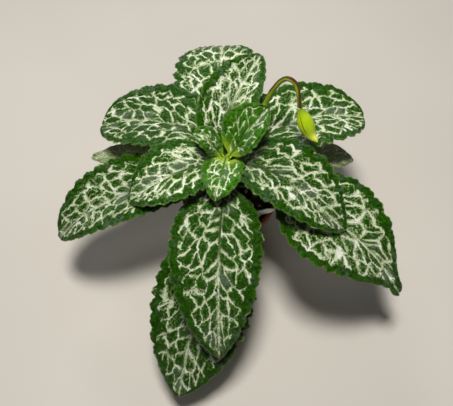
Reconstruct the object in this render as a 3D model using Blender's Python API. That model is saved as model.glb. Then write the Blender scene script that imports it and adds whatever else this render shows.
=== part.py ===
"""A potted primulina: a rosette of thick, scalloped leaves with a nodding flower bud, in a small pot.

Every dimension is in millimetres here and is turned into metres when a mesh is made. +X is to
the right, -Y is the front, +Z is up, and the pot stands on z = 0 with its axis on the origin.
"""

import math
from dataclasses import dataclass

import bpy
import numpy as np

METRES = 0.001

# Pot
POT_HEIGHT = 52.0
POT_RIM_RADIUS = 32.0
POT_MOUTH_RADIUS = 29.6
POT_NECK_RADIUS = 30.4
POT_BASE_RADIUS = 22.0
POT_WALL = 1.5
POT_FLOOR = 2.0
RIM_DROP = 8.0
DRAIN_HOLES = 6
DRAIN_RADIUS = 2.6
DRAIN_CIRCLE = 14.0
POT_SEGMENTS = 64

# Soil
SOIL_TOP = 45.5
SOIL_BUMP = 1.1
SOIL_SEGMENTS = 36
GAP = 0.35

# Crown: the short upright stem that carries the leaves
CROWN_FOOT = 33.0
CROWN_TOP = 87.0
CROWN_RADIUS = 5.0
CROWN_TOP_RADIUS = 2.0
CROWN_LEAN = (-2.0, 4.0)

# Leaf thickness
BLADE_THICK = 1.15
EDGE_THICK = 0.75
RIB_FOOT = 2.0
RIB_HALF = 1.6
PETIOLE_HALF = 2.2
FOOT_GAP = 0.85

# Flower stem and bud
STALK_FOOT_RADIUS = 1.9
STALK_TIP_RADIUS = 1.35
STALK_PATH = (
    (3.4, 8.6, 76.0),
    (8.2, 14.4, 83.5),
    (15.2, 22.0, 93.5),
    (21.2, 29.4, 106.0),
    (26.5, 32.8, 118.5),
    (32.5, 33.0, 126.0),
    (38.0, 28.6, 125.6),
    (40.2, 22.8, 119.0),
    (40.9, 20.8, 115.2),
)
BUD_PATH = (
    (41.1, 20.2, 114.0),
    (43.4, 16.2, 110.2),
    (45.8, 12.2, 106.8),
    (48.4, 8.8, 103.6),
    (52.2, 5.4, 101.6),
)
BUD_RADIUS = 4.7
BUD_DEPTH = 0.86
BUD_KEEL = 0.06

# Label
LABEL_WIDTH = 5.5
LABEL_THICK = 0.8
LABEL_FOOT = (-6.0, -17.0, 37.2)
LABEL_END = (29.5, -17.0, 59.3)
LABEL_POINT = 5.0


@dataclass(frozen=True)
class Leaf:
    """One leaf: where it leaves the crown, where its tip is, and how its blade is shaped."""

    name: str
    foot: float  # height of its foot on the crown
    heading: float  # degrees from +X, as it leaves the crown
    tip: tuple
    rise: float  # climb at the foot, degrees
    fall: float  # drop at the tip, degrees
    width: float
    widest: float = 0.45  # place of the widest point, as a share of the blade
    taper: float = 1.4  # how slim the two ends of the blade are
    fold: float = 10.0  # how far each half rises from the midrib, degrees
    curl: float = -20.0  # how far it turns on from there to the margin, degrees
    roll: float = 0.0  # turn about the midrib, degrees; positive lifts the left half
    bow: float = 0.0  # bend to the left, looking outward
    teeth: int = 12
    rib: float = 1.0
    petiole: float = 0.07  # share of its length that is stalk
    lobe: float = 0.0  # how far the base of each half reaches back past the foot
    skew: float = 0.0  # how much wider the left half is than the mean of both


LEAVES = (
    Leaf("leaf_front", 72, -95, (-6, -110, 50), 35, 45, 54, 0.42, 1.4, 8, -20, 0, -2.5, 13, skew=-0.08),
    Leaf("leaf_front_lower", 56, -100, (-31, -127, 25), 25, 35, 61, 0.52, 1.5, 5, -20, 0, -1, 14, skew=0.06),
    Leaf("leaf_right_lower", 62, -18, (105, -69, 46), 22, 50, 66, 0.4, 2.5, 18, -12, -3, 5, 12,
         petiole=0.18, skew=-0.12),
    Leaf("leaf_right_upper", 80, -3, (69, -40, 75), 38, 42, 46.5, 0.41, 1.4, 18, -12, 0, -3, 11, skew=0.1),
    Leaf("leaf_left_upper", 80, -173, (-62, -21, 77), 38, 42, 41, 0.42, 1.4, 16, -12, 0, 2, 10, skew=-0.05),
    Leaf("leaf_left_lower", 62, -164, (-109, -34, 50), 24, 48, 47, 0.48, 1.4, 20, -15, 4, -7, 13, skew=-0.08),
    Leaf("leaf_left_back", 70, 140, (-86, 41, 69), 38, 24, 55, 0.57, 1.15, 18, -12, 7, -13, 12, skew=-0.03),
    Leaf("leaf_left_under", 56, 160, (-94, 26, 54), 22, 25, 30, 0.45, 1.4, 20, -10, 12, 0, 11),
    Leaf("leaf_back_lower", 58, 100, (-4, 109, 71), 32, 60, 56, 0.54, 1.2, 8, -20, -5, 2, 12, skew=0.12),
    Leaf("leaf_back_upper", 80, 105, (20, 68, 108), 50, 0, 36.5, 0.42, 1.3, 20, -5, 8, 3, 10, skew=0.1),
    Leaf("young_leaf_right", 86.5, 43, (23, 24, 110), 45, -30, 30, 0.5, 1.2, 25, 1, 0, 0, 8, 0.7, 0.02,
         skew=0.08),
    Leaf("young_leaf_front", 88, -108, (-9, -28, 90), 20, 45, 25, 0.34, 1.2, 8, -20, 0, 1, 7, 0.7, 0.02, 24),
    Leaf("young_leaf_left", 86, 153, (-22, 12, 101), 42, 0, 16, 0.6, 1.3, 18, -10, 0, -3, 6, 0.6, 0.02,
         skew=0.15),
    Leaf("leaf_right_back", 67, 34, (89, 42, 77), 42, 20, 57, 0.55, 1.15, 19, -12, -8, 12, 12, skew=-0.03),
    Leaf("leaf_right_under", 56, 18, (84, 24, 55), 25, 25, 34, 0.5, 1.4, 22, -10, -12, 2, 11),
)
TOOTH_SHARE = 0.07
TOOTH_RISE = 0.66
HANDLE = 0.36


def unit(vectors):
    """Vectors of length one, along the last axis."""
    return vectors / np.linalg.norm(vectors, axis=-1, keepdims=True)


def crown_centre(z):
    """The crown's axis at height z. It leans a little more the higher it goes."""
    share = np.clip((np.asarray(z, float) - 44.0) / 44.0, 0.0, None)
    return np.stack([CROWN_LEAN[0] * share, CROWN_LEAN[1] * share**1.5, np.asarray(z, float)], -1)


def crown_radius(z):
    """The crown's radius at height z: even at first, then slimmer to the growing point."""
    share = np.clip((np.asarray(z, float) - 62.0) / 26.0, 0.0, 1.0)
    return CROWN_RADIUS - (CROWN_RADIUS - CROWN_TOP_RADIUS) * share**1.5


def midrib(leaf, s):
    """Points and directions along the midrib, a cubic curve from the foot (s = 0) to the tip (s = 1)."""
    angle = math.radians(leaf.heading)
    out = np.array([math.cos(angle), math.sin(angle), 0.0])
    start = out * (crown_radius(leaf.foot) + FOOT_GAP) + crown_centre(leaf.foot)
    end = np.array(leaf.tip, float)
    chord = end - start
    reach = HANDLE * np.linalg.norm(chord)
    ahead = unit(np.array([chord[0], chord[1], 0.0]))
    left = np.array([-ahead[1], ahead[0], 0.0]) * leaf.bow
    rise, fall = math.radians(leaf.rise), math.radians(leaf.fall)
    leaving = out * math.cos(rise) + np.array([0.0, 0.0, math.sin(rise)])
    arriving = ahead * math.cos(fall) - np.array([0.0, 0.0, math.sin(fall)])
    second = start + leaving * reach + left
    third = end - arriving * reach + left
    s = np.asarray(s, float)[:, None]
    r = 1.0 - s
    points = start * r**3 + 3 * second * s * r**2 + 3 * third * s**2 * r + end * s**3
    slopes = (second - start) * r**2 + 2 * (third - second) * s * r + (end - third) * s**2
    return points, unit(slopes)


def half_width(leaf, s):
    """Distance from midrib to margin, without teeth, with the petiole blended in."""
    share = np.clip((s - leaf.petiole) / (1 - leaf.petiole), 0.0, 1.0)
    low = leaf.taper * leaf.widest
    high = leaf.taper - low
    peak = leaf.widest**low * (1 - leaf.widest) ** high
    blade = leaf.width / 2 * share**low * (1 - share) ** high / peak
    stalk = PETIOLE_HALF * leaf.rib**0.5 * np.sqrt(1 - s)
    return np.cbrt(blade**3 + stalk**3)


def toothed_width(leaf, s):
    """Distance from midrib to margin with its rounded, forward-leaning teeth."""
    share = np.clip((s - leaf.petiole) / (1 - leaf.petiole), 0.0, 1.0)
    phase = (share * leaf.teeth) % 1.0
    climb = np.sin(phase / TOOTH_RISE * math.pi / 2)
    drop = np.cos((phase - TOOTH_RISE) / (1 - TOOTH_RISE) * math.pi / 2)
    tooth = np.where(phase < TOOTH_RISE, climb, drop)
    begin = np.clip(share * 8, 0.0, 1.0)
    plain = half_width(leaf, s)
    return plain * (1 + begin * TOOTH_SHARE * (tooth - 0.55)) + begin * 0.3 * (tooth - 0.5)


def leaf_surface(leaf, s, v):
    """Upper face of a leaf at stations s along it, and v across it from -1 (right) to 1 (left).

    Each half leaves the midrib at the fold angle and turns steadily by the curl angle, so a
    section across the blade is two circular arcs. v holds one row of values for each station.
    """
    points, along = midrib(leaf, s)
    side = unit(np.cross(np.array([0.0, 0.0, 1.0]), along))
    up = np.cross(along, side)
    roll = math.radians(leaf.roll)
    side, up = (
        side * math.cos(roll) + up * math.sin(roll),
        up * math.cos(roll) - side * math.sin(roll),
    )
    width = toothed_width(leaf, s)[:, None] * (1 + leaf.skew * np.sign(v))
    fold, curl = math.radians(leaf.fold), math.radians(leaf.curl)
    turned = fold + curl * np.abs(v)
    across = np.sign(v) * (np.sin(turned) - math.sin(fold)) / curl * width
    lift = (math.cos(fold) - np.cos(turned)) / curl * width
    reach = np.abs(v) * half_width(leaf, s)[:, None] / (leaf.width / 2)
    back = leaf.lobe * np.clip(reach - 0.15, 0.0, None) ** 1.2
    back = back * np.exp(-s[:, None] / 0.25)
    return (
        points[:, None]
        + side[:, None] * across[..., None]
        + up[:, None] * lift[..., None]
        - along[:, None] * back[..., None]
    )


def leaf_stations(leaf):
    """Stations along a leaf: two on the petiole, then one in each notch and one on each tooth."""
    teeth = np.arange(leaf.teeth)
    shares = np.stack([teeth + 0.02, teeth + TOOTH_RISE], -1).ravel() / leaf.teeth
    blade = leaf.petiole + (1 - leaf.petiole) * shares
    return np.concatenate([[0.0, leaf.petiole * 0.5], blade])


def leaf_mesh(leaf):
    """Vertices and faces of one leaf: two faces split into triangles alike, a rim, a foot and a tip."""
    s = leaf_stations(leaf)
    width = toothed_width(leaf, s)
    rib_v = np.clip(RIB_HALF / width, 0.06, 0.34)
    ones = np.ones_like(s)
    v = np.stack([-ones, -0.6 * ones, -rib_v, 0 * ones, rib_v, 0.6 * ones, ones], -1)
    upper = leaf_surface(leaf, s, v)
    along = np.gradient(upper, axis=0)
    across = np.gradient(upper, axis=1)
    normal = unit(np.cross(along, across))
    blend = np.clip(s / 0.08, 0.0, 1.0)[:, None, None]
    normal = unit(np.array([0.0, 0.0, 1.0]) * (1 - blend) + normal * blend)
    x = v * width[:, None]
    rib = leaf.rib * RIB_FOOT * (1 - 0.85 * s[:, None]) * np.exp(-((x / RIB_HALF) ** 2))
    thick = EDGE_THICK + (BLADE_THICK - EDGE_THICK) * (1 - v**2) + rib
    lower = upper - normal * thick[..., None]
    tip, _ = midrib(leaf, np.array([1.0]))
    tips = np.concatenate([tip, tip - normal[-1, 3] * EDGE_THICK])
    points = np.concatenate([upper.reshape(-1, 3), lower.reshape(-1, 3), tips])
    rows, columns = v.shape
    index = np.arange(rows * columns).reshape(rows, columns)
    faces = leaf_faces(index, index + rows * columns, 2 * rows * columns)
    return points, faces


def leaf_faces(upper, lower, tip):
    """Faces of a leaf from the vertex numbers of its two grids; tip and tip + 1 are its end points."""
    faces = []
    rows, columns = upper.shape
    middle = columns // 2
    for i in range(rows - 1):
        for j in range(columns - 1):
            a, b, c, d = upper[i, j], upper[i + 1, j], upper[i + 1, j + 1], upper[i, j + 1]
            e, f, g, h = lower[i, j], lower[i + 1, j], lower[i + 1, j + 1], lower[i, j + 1]
            if j < middle:
                faces += [(a, b, d), (b, c, d), (e, h, f), (f, h, g)]
            else:
                faces += [(a, b, c), (a, c, d), (e, g, f), (e, h, g)]
        faces.append((upper[i, 0], lower[i, 0], lower[i + 1, 0], upper[i + 1, 0]))
        last = columns - 1
        faces.append((upper[i, last], upper[i + 1, last], lower[i + 1, last], lower[i, last]))
    for j in range(columns - 1):
        faces.append((upper[-1, j], tip, upper[-1, j + 1]))
        faces.append((lower[-1, j], lower[-1, j + 1], tip + 1))
        faces.append((upper[0, j], upper[0, j + 1], lower[0, j + 1], lower[0, j]))
    faces.append((upper[-1, 0], lower[-1, 0], tip + 1, tip))
    faces.append((upper[-1, -1], tip, tip + 1, lower[-1, -1]))
    return [tuple(int(n) for n in face) for face in faces]


def smooth_path(points, count):
    """A curve through the given points, evenly spaced, as a Catmull-Rom spline."""
    knots = np.array(points, float)
    ends = np.concatenate([[2 * knots[0] - knots[1]], knots, [2 * knots[-1] - knots[-2]]])
    t = np.linspace(0, len(knots) - 1, count * 6)
    k = np.clip(t.astype(int), 0, len(knots) - 2)
    u = (t - k)[:, None]
    a, b, c, d = ends[k], ends[k + 1], ends[k + 2], ends[k + 3]
    fine = 0.5 * (
        2 * b + (c - a) * u + (2 * a - 5 * b + 4 * c - d) * u**2 + (3 * b - a - 3 * c + d) * u**3
    )
    run = np.concatenate([[0.0], np.cumsum(np.linalg.norm(np.diff(fine, axis=0), axis=1))])
    even = np.linspace(0, run[-1], count)
    return np.stack([np.interp(even, run, fine[:, axis]) for axis in range(3)], -1)


def path_frames(path):
    """Directions across a path, turned as little as possible from one point to the next."""
    along = unit(np.gradient(path, axis=0))
    first = np.cross(along[0], [0.0, 0.0, 1.0])
    if np.linalg.norm(first) < 0.1:
        first = np.cross(along[0], [1.0, 0.0, 0.0])
    sides = [unit(first)]
    for direction in along[1:]:
        moved = sides[-1] - direction * np.dot(sides[-1], direction)
        sides.append(unit(moved))
    sides = np.array(sides)
    return along, sides, np.cross(along, sides)


def tube_mesh(path, sections):
    """A closed tube: sections holds, for each path point, the (across, over) outline round it."""
    _, side, over = path_frames(path)
    rings = (
        path[:, None]
        + side[:, None] * sections[..., 0, None]
        + over[:, None] * sections[..., 1, None]
    )
    rows, around = sections.shape[:2]
    return rings.reshape(-1, 3), ring_faces(rows, around)


def ring_faces(rows, around):
    """Faces of a stack of rings, closed at both ends."""
    faces = [tuple(range(around))[::-1], tuple(range((rows - 1) * around, rows * around))]
    for i in range(rows - 1):
        for j in range(around):
            k = (j + 1) % around
            faces.append((i * around + j, i * around + k, (i + 1) * around + k, (i + 1) * around + j))
    return faces


def circle(around):
    """Points of a circle of radius one."""
    angle = np.arange(around) * 2 * math.pi / around
    return np.stack([np.cos(angle), np.sin(angle)], -1)


def turned_mesh(profile, around):
    """A solid turned about the Z axis from a closed (radius, z) outline that runs anticlockwise."""
    ring = circle(around)
    points, faces, rows = [], [], []
    for radius, z in profile:
        if radius == 0.0:
            rows.append([len(points)])
            points.append((0.0, 0.0, z))
            continue
        rows.append(list(range(len(points), len(points) + around)))
        points += [(radius * x, radius * y, z) for x, y in ring]
    for here, there in zip(rows, rows[1:] + rows[:1]):
        if len(here) == 1 and len(there) == 1:
            continue
        for j in range(around):
            k = (j + 1) % around
            if len(here) == 1:
                faces.append((here[0], there[k], there[j]))
            elif len(there) == 1:
                faces.append((here[j], here[k], there[0]))
            else:
                faces.append((here[j], here[k], there[k], there[j]))
    return np.array(points), faces


def material(name, colour, roughness, metallic=0.0):
    """A plain Principled material."""
    made = bpy.data.materials.new(name)
    made.use_nodes = True
    shader = made.node_tree.nodes["Principled BSDF"]
    shader.inputs["Base Color"].default_value = (*colour, 1.0)
    shader.inputs["Roughness"].default_value = roughness
    shader.inputs["Metallic"].default_value = metallic
    made.diffuse_color = (*colour, 1.0)
    return made


def add_object(name, points, faces, surface, smooth=True):
    """A mesh object in metres from points in millimetres."""
    mesh = bpy.data.meshes.new(name)
    mesh.from_pydata((np.asarray(points) * METRES).tolist(), [], faces)
    mesh.validate()
    mesh.polygons.foreach_set("use_smooth", [smooth] * len(mesh.polygons))
    mesh.materials.append(surface)
    made = bpy.data.objects.new(name, mesh)
    bpy.context.scene.collection.objects.link(made)
    return made


def cut(target, cutter):
    """Takes the cutter, which is not part of the object, away from the target."""
    cutter.hide_render = True
    cutter.display_type = "WIRE"
    modifier = target.modifiers.new("cut", "BOOLEAN")
    modifier.operation = "DIFFERENCE"
    modifier.solver = "EXACT"
    modifier.object = cutter


def build_pot():
    """The pot: a thin tapering wall with a deeper rim band, a flat floor and drain holes."""
    outline = [
        (0.0, 0.0),
        (POT_BASE_RADIUS - 0.8, 0.0),
        (POT_BASE_RADIUS, 0.8),
        (POT_NECK_RADIUS - 0.2, POT_HEIGHT - RIM_DROP),
        (POT_RIM_RADIUS - 0.5, POT_HEIGHT - RIM_DROP + 0.3),
        (POT_RIM_RADIUS, POT_HEIGHT - 1.0),
        (POT_RIM_RADIUS - 0.4, POT_HEIGHT - 0.2),
        (POT_RIM_RADIUS - 1.1, POT_HEIGHT),
        (POT_MOUTH_RADIUS + 0.6, POT_HEIGHT - 0.1),
        (POT_MOUTH_RADIUS, POT_HEIGHT - 0.9),
        (POT_NECK_RADIUS - POT_WALL - 0.2, POT_HEIGHT - RIM_DROP - 0.5),
        (POT_BASE_RADIUS - POT_WALL, POT_FLOOR + 0.6),
        (POT_BASE_RADIUS - POT_WALL - 0.8, POT_FLOOR),
        (0.0, POT_FLOOR),
    ]
    clay = material("pot_plastic", (0.20, 0.055, 0.028), 0.5)
    pot = add_object("pot", *turned_mesh(outline, POT_SEGMENTS), clay)
    for n in range(DRAIN_HOLES):
        angle = (n + 0.47) * 2 * math.pi / DRAIN_HOLES
        points, faces = turned_mesh(
            [(0.0, -2.0), (DRAIN_RADIUS, -2.0), (DRAIN_RADIUS, 5.0), (0.0, 5.0)], 16
        )
        points = points + [DRAIN_CIRCLE * math.cos(angle), DRAIN_CIRCLE * math.sin(angle), 0.0]
        cut(pot, add_object(f"drain_cutter_{n}", points, faces, clay, smooth=False))
    return pot


def build_soil():
    """The soil: it fills the pot, with a bumpy top, a plain hole for the crown and a label slot."""
    wall_top = POT_NECK_RADIUS - POT_WALL - GAP - 0.35
    outline = [
        (0.0, POT_FLOOR + GAP),
        (POT_BASE_RADIUS - POT_WALL - GAP - 1.2, POT_FLOOR + GAP),
        (POT_BASE_RADIUS - POT_WALL - GAP - 0.3, POT_FLOOR + GAP + 1.2),
        (wall_top, SOIL_TOP - 2.5),
        (wall_top - 0.6, SOIL_TOP - 0.9),
        (25.0, SOIL_TOP),
        (20.5, SOIL_TOP),
        (16.0, SOIL_TOP),
        (11.5, SOIL_TOP),
        (CROWN_RADIUS + GAP + 1.2, SOIL_TOP),
        (CROWN_RADIUS + GAP, SOIL_TOP - 0.5),
        (CROWN_RADIUS + GAP, CROWN_FOOT - GAP),
        (0.0, CROWN_FOOT - GAP),
    ]
    points, faces = turned_mesh(outline, SOIL_SEGMENTS)
    x, y, z = points.T
    bumps = (
        np.sin(x * 0.55 + 1.3 * np.sin(y * 0.31))
        + np.sin(y * 0.62 + 1.1 * np.sin(x * 0.37 + 2.0))
        + 0.6 * np.sin(x * 1.1 + y * 0.9)
    )
    loose = (z > SOIL_TOP - 0.95) & (np.hypot(x, y) > CROWN_RADIUS + 1.0)
    points[:, 2] += np.where(loose, bumps * SOIL_BUMP / 2.6, 0.0)
    earth = material("soil", (0.022, 0.014, 0.009), 0.95)
    soil = add_object("soil", points, faces, earth)
    slot = add_object("slot_cutter", *label_mesh(GAP), earth, smooth=False)
    cut(soil, slot)
    return soil


def label_mesh(grow):
    """A flat strip with a point at its upper end, made larger all round by grow."""
    foot, end = np.array(LABEL_FOOT), np.array(LABEL_END)
    along = unit(end - foot)
    flat = unit(np.cross(along, [0.0, 0.0, 1.0]))
    across = np.cross(flat, along)
    length = np.linalg.norm(end - foot)
    half, thick = LABEL_WIDTH / 2 + grow, LABEL_THICK / 2 + grow
    outline = [
        (-grow, -half),
        (length - LABEL_POINT, -half),
        (length + grow, -half * 0.15),
        (length + grow, half * 0.15),
        (length - LABEL_POINT, half),
        (-grow, half),
    ]
    points = [
        foot + along * u + across * w + flat * (side * thick)
        for side in (-1, 1)
        for u, w in outline
    ]
    n = len(outline)
    faces = [tuple(range(n))[::-1], tuple(range(n, 2 * n))]
    faces += [(j, (j + 1) % n, (j + 1) % n + n, j + n) for j in range(n)]
    return np.array(points), faces


def build_label():
    """The narrow white label, pushed slantwise into the soil and passing over the rim."""
    white = material("label_plastic", (0.86, 0.86, 0.84), 0.35)
    return add_object("label", *label_mesh(0.0), white, smooth=False)


def build_crown():
    """The crown: the upright stem in its hole in the soil, up to the growing point."""
    heights = np.array([CROWN_FOOT, CROWN_FOOT + 1.5, 40, 46, 52, 58, 64, 70, 76, 81, 85, CROWN_TOP, CROWN_TOP + 1.2])
    radii = crown_radius(heights)
    radii[0] -= 1.5
    radii[-1] = CROWN_TOP_RADIUS * 0.45
    sections = circle(20)[None] * radii[:, None, None]
    rings = crown_centre(heights)[:, None] + np.concatenate(
        [sections, np.zeros_like(sections[..., :1])], -1
    )
    green = material("crown_tissue", (0.16, 0.22, 0.04), 0.55)
    return add_object("crown", rings.reshape(-1, 3), ring_faces(len(heights), 20), green)


def build_flower_stem():
    """The bent stem that carries the bud."""
    path = smooth_path(STALK_PATH, 40)
    radii = np.linspace(STALK_FOOT_RADIUS, STALK_TIP_RADIUS, len(path))
    sections = circle(12)[None] * radii[:, None, None]
    green = material("stem_green", (0.20, 0.26, 0.03), 0.5)
    return add_object("flower_stem", *tube_mesh(path, sections), green)


def build_flower_bud():
    """The closed bud: fat in the middle, keeled along its seams, with a curved beak."""
    path = smooth_path(BUD_PATH, 22)
    share = np.linspace(0.0, 1.0, len(path))
    swell = np.sin(math.pi * share**0.82) ** 0.85
    radii = 1.2 * (1 - share) + 0.45 * share + (BUD_RADIUS - 0.9) * swell
    around = 24
    angle = np.arange(around) * 2 * math.pi / around
    keel = 1 + BUD_KEEL * np.cos(angle * 2) ** 8
    ring = circle(around) * keel[:, None] * [1.0, BUD_DEPTH]
    sections = ring[None] * radii[:, None, None]
    yellow = material("bud_yellow_green", (0.42, 0.50, 0.03), 0.45)
    return add_object("flower_bud", *tube_mesh(path, sections), yellow)


def build_leaves():
    """Every leaf, each with its own material."""
    for leaf in LEAVES:
        young = leaf.name.startswith("young")
        colour = (0.075, 0.17, 0.035) if young else (0.05, 0.11, 0.03)
        skin = material(f"{leaf.name}_skin", colour, 0.42)
        points, faces = leaf_mesh(leaf)
        add_object(leaf.name, points, faces, skin)


def main():
    """Builds the whole plant in an empty scene."""
    for old in list(bpy.data.objects):
        bpy.data.objects.remove(old, do_unlink=True)
    build_pot()
    build_soil()
    build_label()
    build_crown()
    build_leaves()
    build_flower_stem()
    build_flower_bud()


if __name__ == "__main__":
    main()
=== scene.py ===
"""The looks of a potted primulina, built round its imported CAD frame.

Lengths are millimetres here and become metres when a mesh is made. +X is right, -Y is the
front, +Z is up. Each leaf, the pot, the soil, the label, the crown, the stalk and the bud
repeats the form of its CAD node on a finer grid, with relief, colour and hairs added.
"""

import logging
import math
from collections.abc import Callable, Sequence
from dataclasses import dataclass
from enum import Enum

import bpy
import numpy as np
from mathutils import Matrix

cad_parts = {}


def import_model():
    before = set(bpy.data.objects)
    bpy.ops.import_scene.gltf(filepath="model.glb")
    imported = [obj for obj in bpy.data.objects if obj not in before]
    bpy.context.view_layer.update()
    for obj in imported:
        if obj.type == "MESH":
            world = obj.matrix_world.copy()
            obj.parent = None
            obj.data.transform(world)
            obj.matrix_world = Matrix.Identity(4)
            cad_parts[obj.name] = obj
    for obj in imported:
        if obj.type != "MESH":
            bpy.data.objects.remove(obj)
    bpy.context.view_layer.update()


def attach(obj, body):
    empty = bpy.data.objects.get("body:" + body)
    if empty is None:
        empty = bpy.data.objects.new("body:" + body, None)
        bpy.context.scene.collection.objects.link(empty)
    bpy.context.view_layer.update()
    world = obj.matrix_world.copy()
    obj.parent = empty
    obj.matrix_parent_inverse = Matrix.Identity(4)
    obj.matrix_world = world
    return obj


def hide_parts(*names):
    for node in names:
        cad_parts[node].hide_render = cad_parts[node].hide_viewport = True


MM = 0.001
UP = np.array([0.0, 0.0, 1.0])
BLACK = (0.0, 0.0, 0.0)
Colour = tuple[float, float, float]
Place = tuple[float, float, float]
log = logging.getLogger("primulina")


class Side(Enum):
    """The two halves of a blade, as seen looking outward along it."""

    RIGHT = -1.0
    LEFT = 1.0


class Vigour(Enum):
    """How old a leaf looks: its green, and how bright its foot is.

    SHADED is painted light: its colours are far paler than a grown leaf's, standing in for the
    light that reaches the leaves under the others.
    """

    GROWN = "grown"
    YOUNG = "young"
    SHADED = "shaded"


def unit(vectors: np.ndarray) -> np.ndarray:
    """Vectors made one long, along the last axis."""
    return vectors / np.maximum(np.linalg.norm(vectors, axis=-1, keepdims=True), 1e-12)


def scatter(a: np.ndarray, b: np.ndarray, seed: float) -> np.ndarray:
    """A repeatable number from 0 to 1 for each pair of whole numbers: the fraction of a large sine."""
    return (np.sin(a * 127.1 + b * 311.7 + seed * 74.7) * 43758.5453) % 1.0


def noise(x: np.ndarray, y: np.ndarray, size: float, seed: float) -> np.ndarray:
    """Smooth noise from 0 to 1: scattered values at the corners of squares, eased between them.

    Args:
        x: First coordinate of each point.
        y: Second coordinate of each point.
        size: Side of a square.
        seed: Picks the pattern.

    Returns:
        One value for each point.
    """
    u, v = x / size, y / size
    column, row = np.floor(u), np.floor(v)
    u, v = u - column, v - row
    u, v = u * u * (3 - 2 * u), v * v * (3 - 2 * v)
    low = scatter(column, row, seed) * (1 - u) + scatter(column + 1, row, seed) * u
    high = scatter(column, row + 1, seed) * (1 - u) + scatter(column + 1, row + 1, seed) * u
    return low * (1 - v) + high * v


def rough_noise(x: np.ndarray, y: np.ndarray, size: float, seed: float) -> np.ndarray:
    """Three layers of noise, each half as large and half as strong as the one before."""
    layers = [noise(x, y, size / 2**n, seed + n) / 2**n for n in range(3)]
    return sum(layers) / 1.75


def held(values: np.ndarray) -> np.ndarray:
    """The values, held between 0 and 1."""
    return np.clip(values, 0.0, 1.0)


def hump(away: np.ndarray, width: float) -> np.ndarray:
    """A bell curve: 1 at no distance, 0.37 at one width and next to nothing at two."""
    return np.exp(-((away / width) ** 2))


def turns(count: int) -> np.ndarray:
    """Angles in even steps round a whole turn."""
    return np.arange(count) * 2 * math.pi / count


def circle(angle: np.ndarray) -> np.ndarray:
    """The points at these angles on a circle of radius one."""
    return np.stack([np.cos(angle), np.sin(angle)], -1)


def run_along(points: np.ndarray) -> np.ndarray:
    """Distance from the first of a row of points to each, along the row."""
    return np.concatenate([[0.0], np.cumsum(np.linalg.norm(np.diff(points, axis=0), axis=1))])


def points_at(points: np.ndarray, at: np.ndarray) -> np.ndarray:
    """The places at these distances along a row of points."""
    run = run_along(points)
    return np.stack([np.interp(at, run, points[:, axis]) for axis in range(3)], -1)


def turned(outline: np.ndarray, around: int) -> np.ndarray:
    """Rings made by turning an outline about Z.

    Args:
        outline: Radii and heights, one row each.
        around: How many points a ring has.

    Returns:
        One ring of points for each row, anticlockwise as seen from above.
    """
    flat = outline[:, :1, None] * circle(turns(around))
    z = np.broadcast_to(outline[:, 1:, None], (*flat.shape[:2], 1))
    return np.concatenate([flat, z], -1)


def smooth_path(knots: Sequence[Place], count: int) -> np.ndarray:
    """A smooth curve through the knots, evenly spaced: a cubic between each two, whose slope at
    a knot is half the step from the knot before it to the knot after it.

    Args:
        knots: The points to pass through.
        count: How many points to return.

    Returns:
        The points of the curve.
    """
    points = np.array(knots, float)
    ends = np.concatenate([[2 * points[0] - points[1]], points, [2 * points[-1] - points[-2]]])
    t = np.linspace(0, len(points) - 1, count * 6)
    k = np.clip(t.astype(int), 0, len(points) - 2)
    u = (t - k)[:, None]
    a, b, c, d = (ends[k + step] for step in range(4))
    cubic = 2 * b + (c - a) * u + (2 * a - 5 * b + 4 * c - d) * u**2
    fine = 0.5 * (cubic + (3 * b - a - 3 * c + d) * u**3)
    return points_at(fine, np.linspace(0, run_along(fine)[-1], count))


def spokes(path: np.ndarray, angle: np.ndarray, depth: float = 1.0) -> np.ndarray:
    """Directions out from a path, which turn about it as little as possible on the way along.

    Args:
        path: Points of the path.
        angle: Angles round it, in one row.
        depth: How long a direction over the path is; one to its side is one long.

    Returns:
        A row of directions for each point.
    """
    along = unit(np.gradient(path, axis=0))
    sides = [unit(np.cross(along[0], UP))]
    for direction in along[1:]:
        sides.append(unit(sides[-1] - direction * np.dot(sides[-1], direction)))
    side = np.array(sides)
    over = np.cross(along, side)
    cos, sin = np.cos(angle)[..., None], np.sin(angle)[..., None]
    return side[:, None] * cos + over[:, None] * sin * depth


@dataclass(frozen=True)
class NetLayer:
    """One size of cells in a leaf's net, in coordinates that flow with its veins."""

    length: float  # of a cell along the flow, in millimetres
    width: float  # of a cell across it
    shift: float  # picks the pattern
    stray: float  # how irregular the cells are, from 0 to 1

    @property
    def mean(self) -> float:
        """A distance of one in the layer's own squares, in millimetres on average."""
        return math.sqrt(self.length * self.width)

    def borders(self, x: np.ndarray, y: np.ndarray) -> np.ndarray:
        """Distance to the cells' borders, from the same texture that the leaf skins use.

        Args:
            x: First flow coordinate of each point, in millimetres.
            y: Second flow coordinate.

        Returns:
            One distance for each point, in millimetres.
        """
        points = np.zeros((x.size, 3), np.float32)
        points[:, 0] = x.ravel() / self.length + self.shift
        points[:, 1] = y.ravel() / self.width + self.shift
        return cell_texture(points, self.stray).reshape(x.shape) * self.mean


COARSE = NetLayer(9.4, 6.9, 0.0, 0.9)
MEDIUM = NetLayer(4.1, 3.2, 40.0, 1.0)


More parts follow.
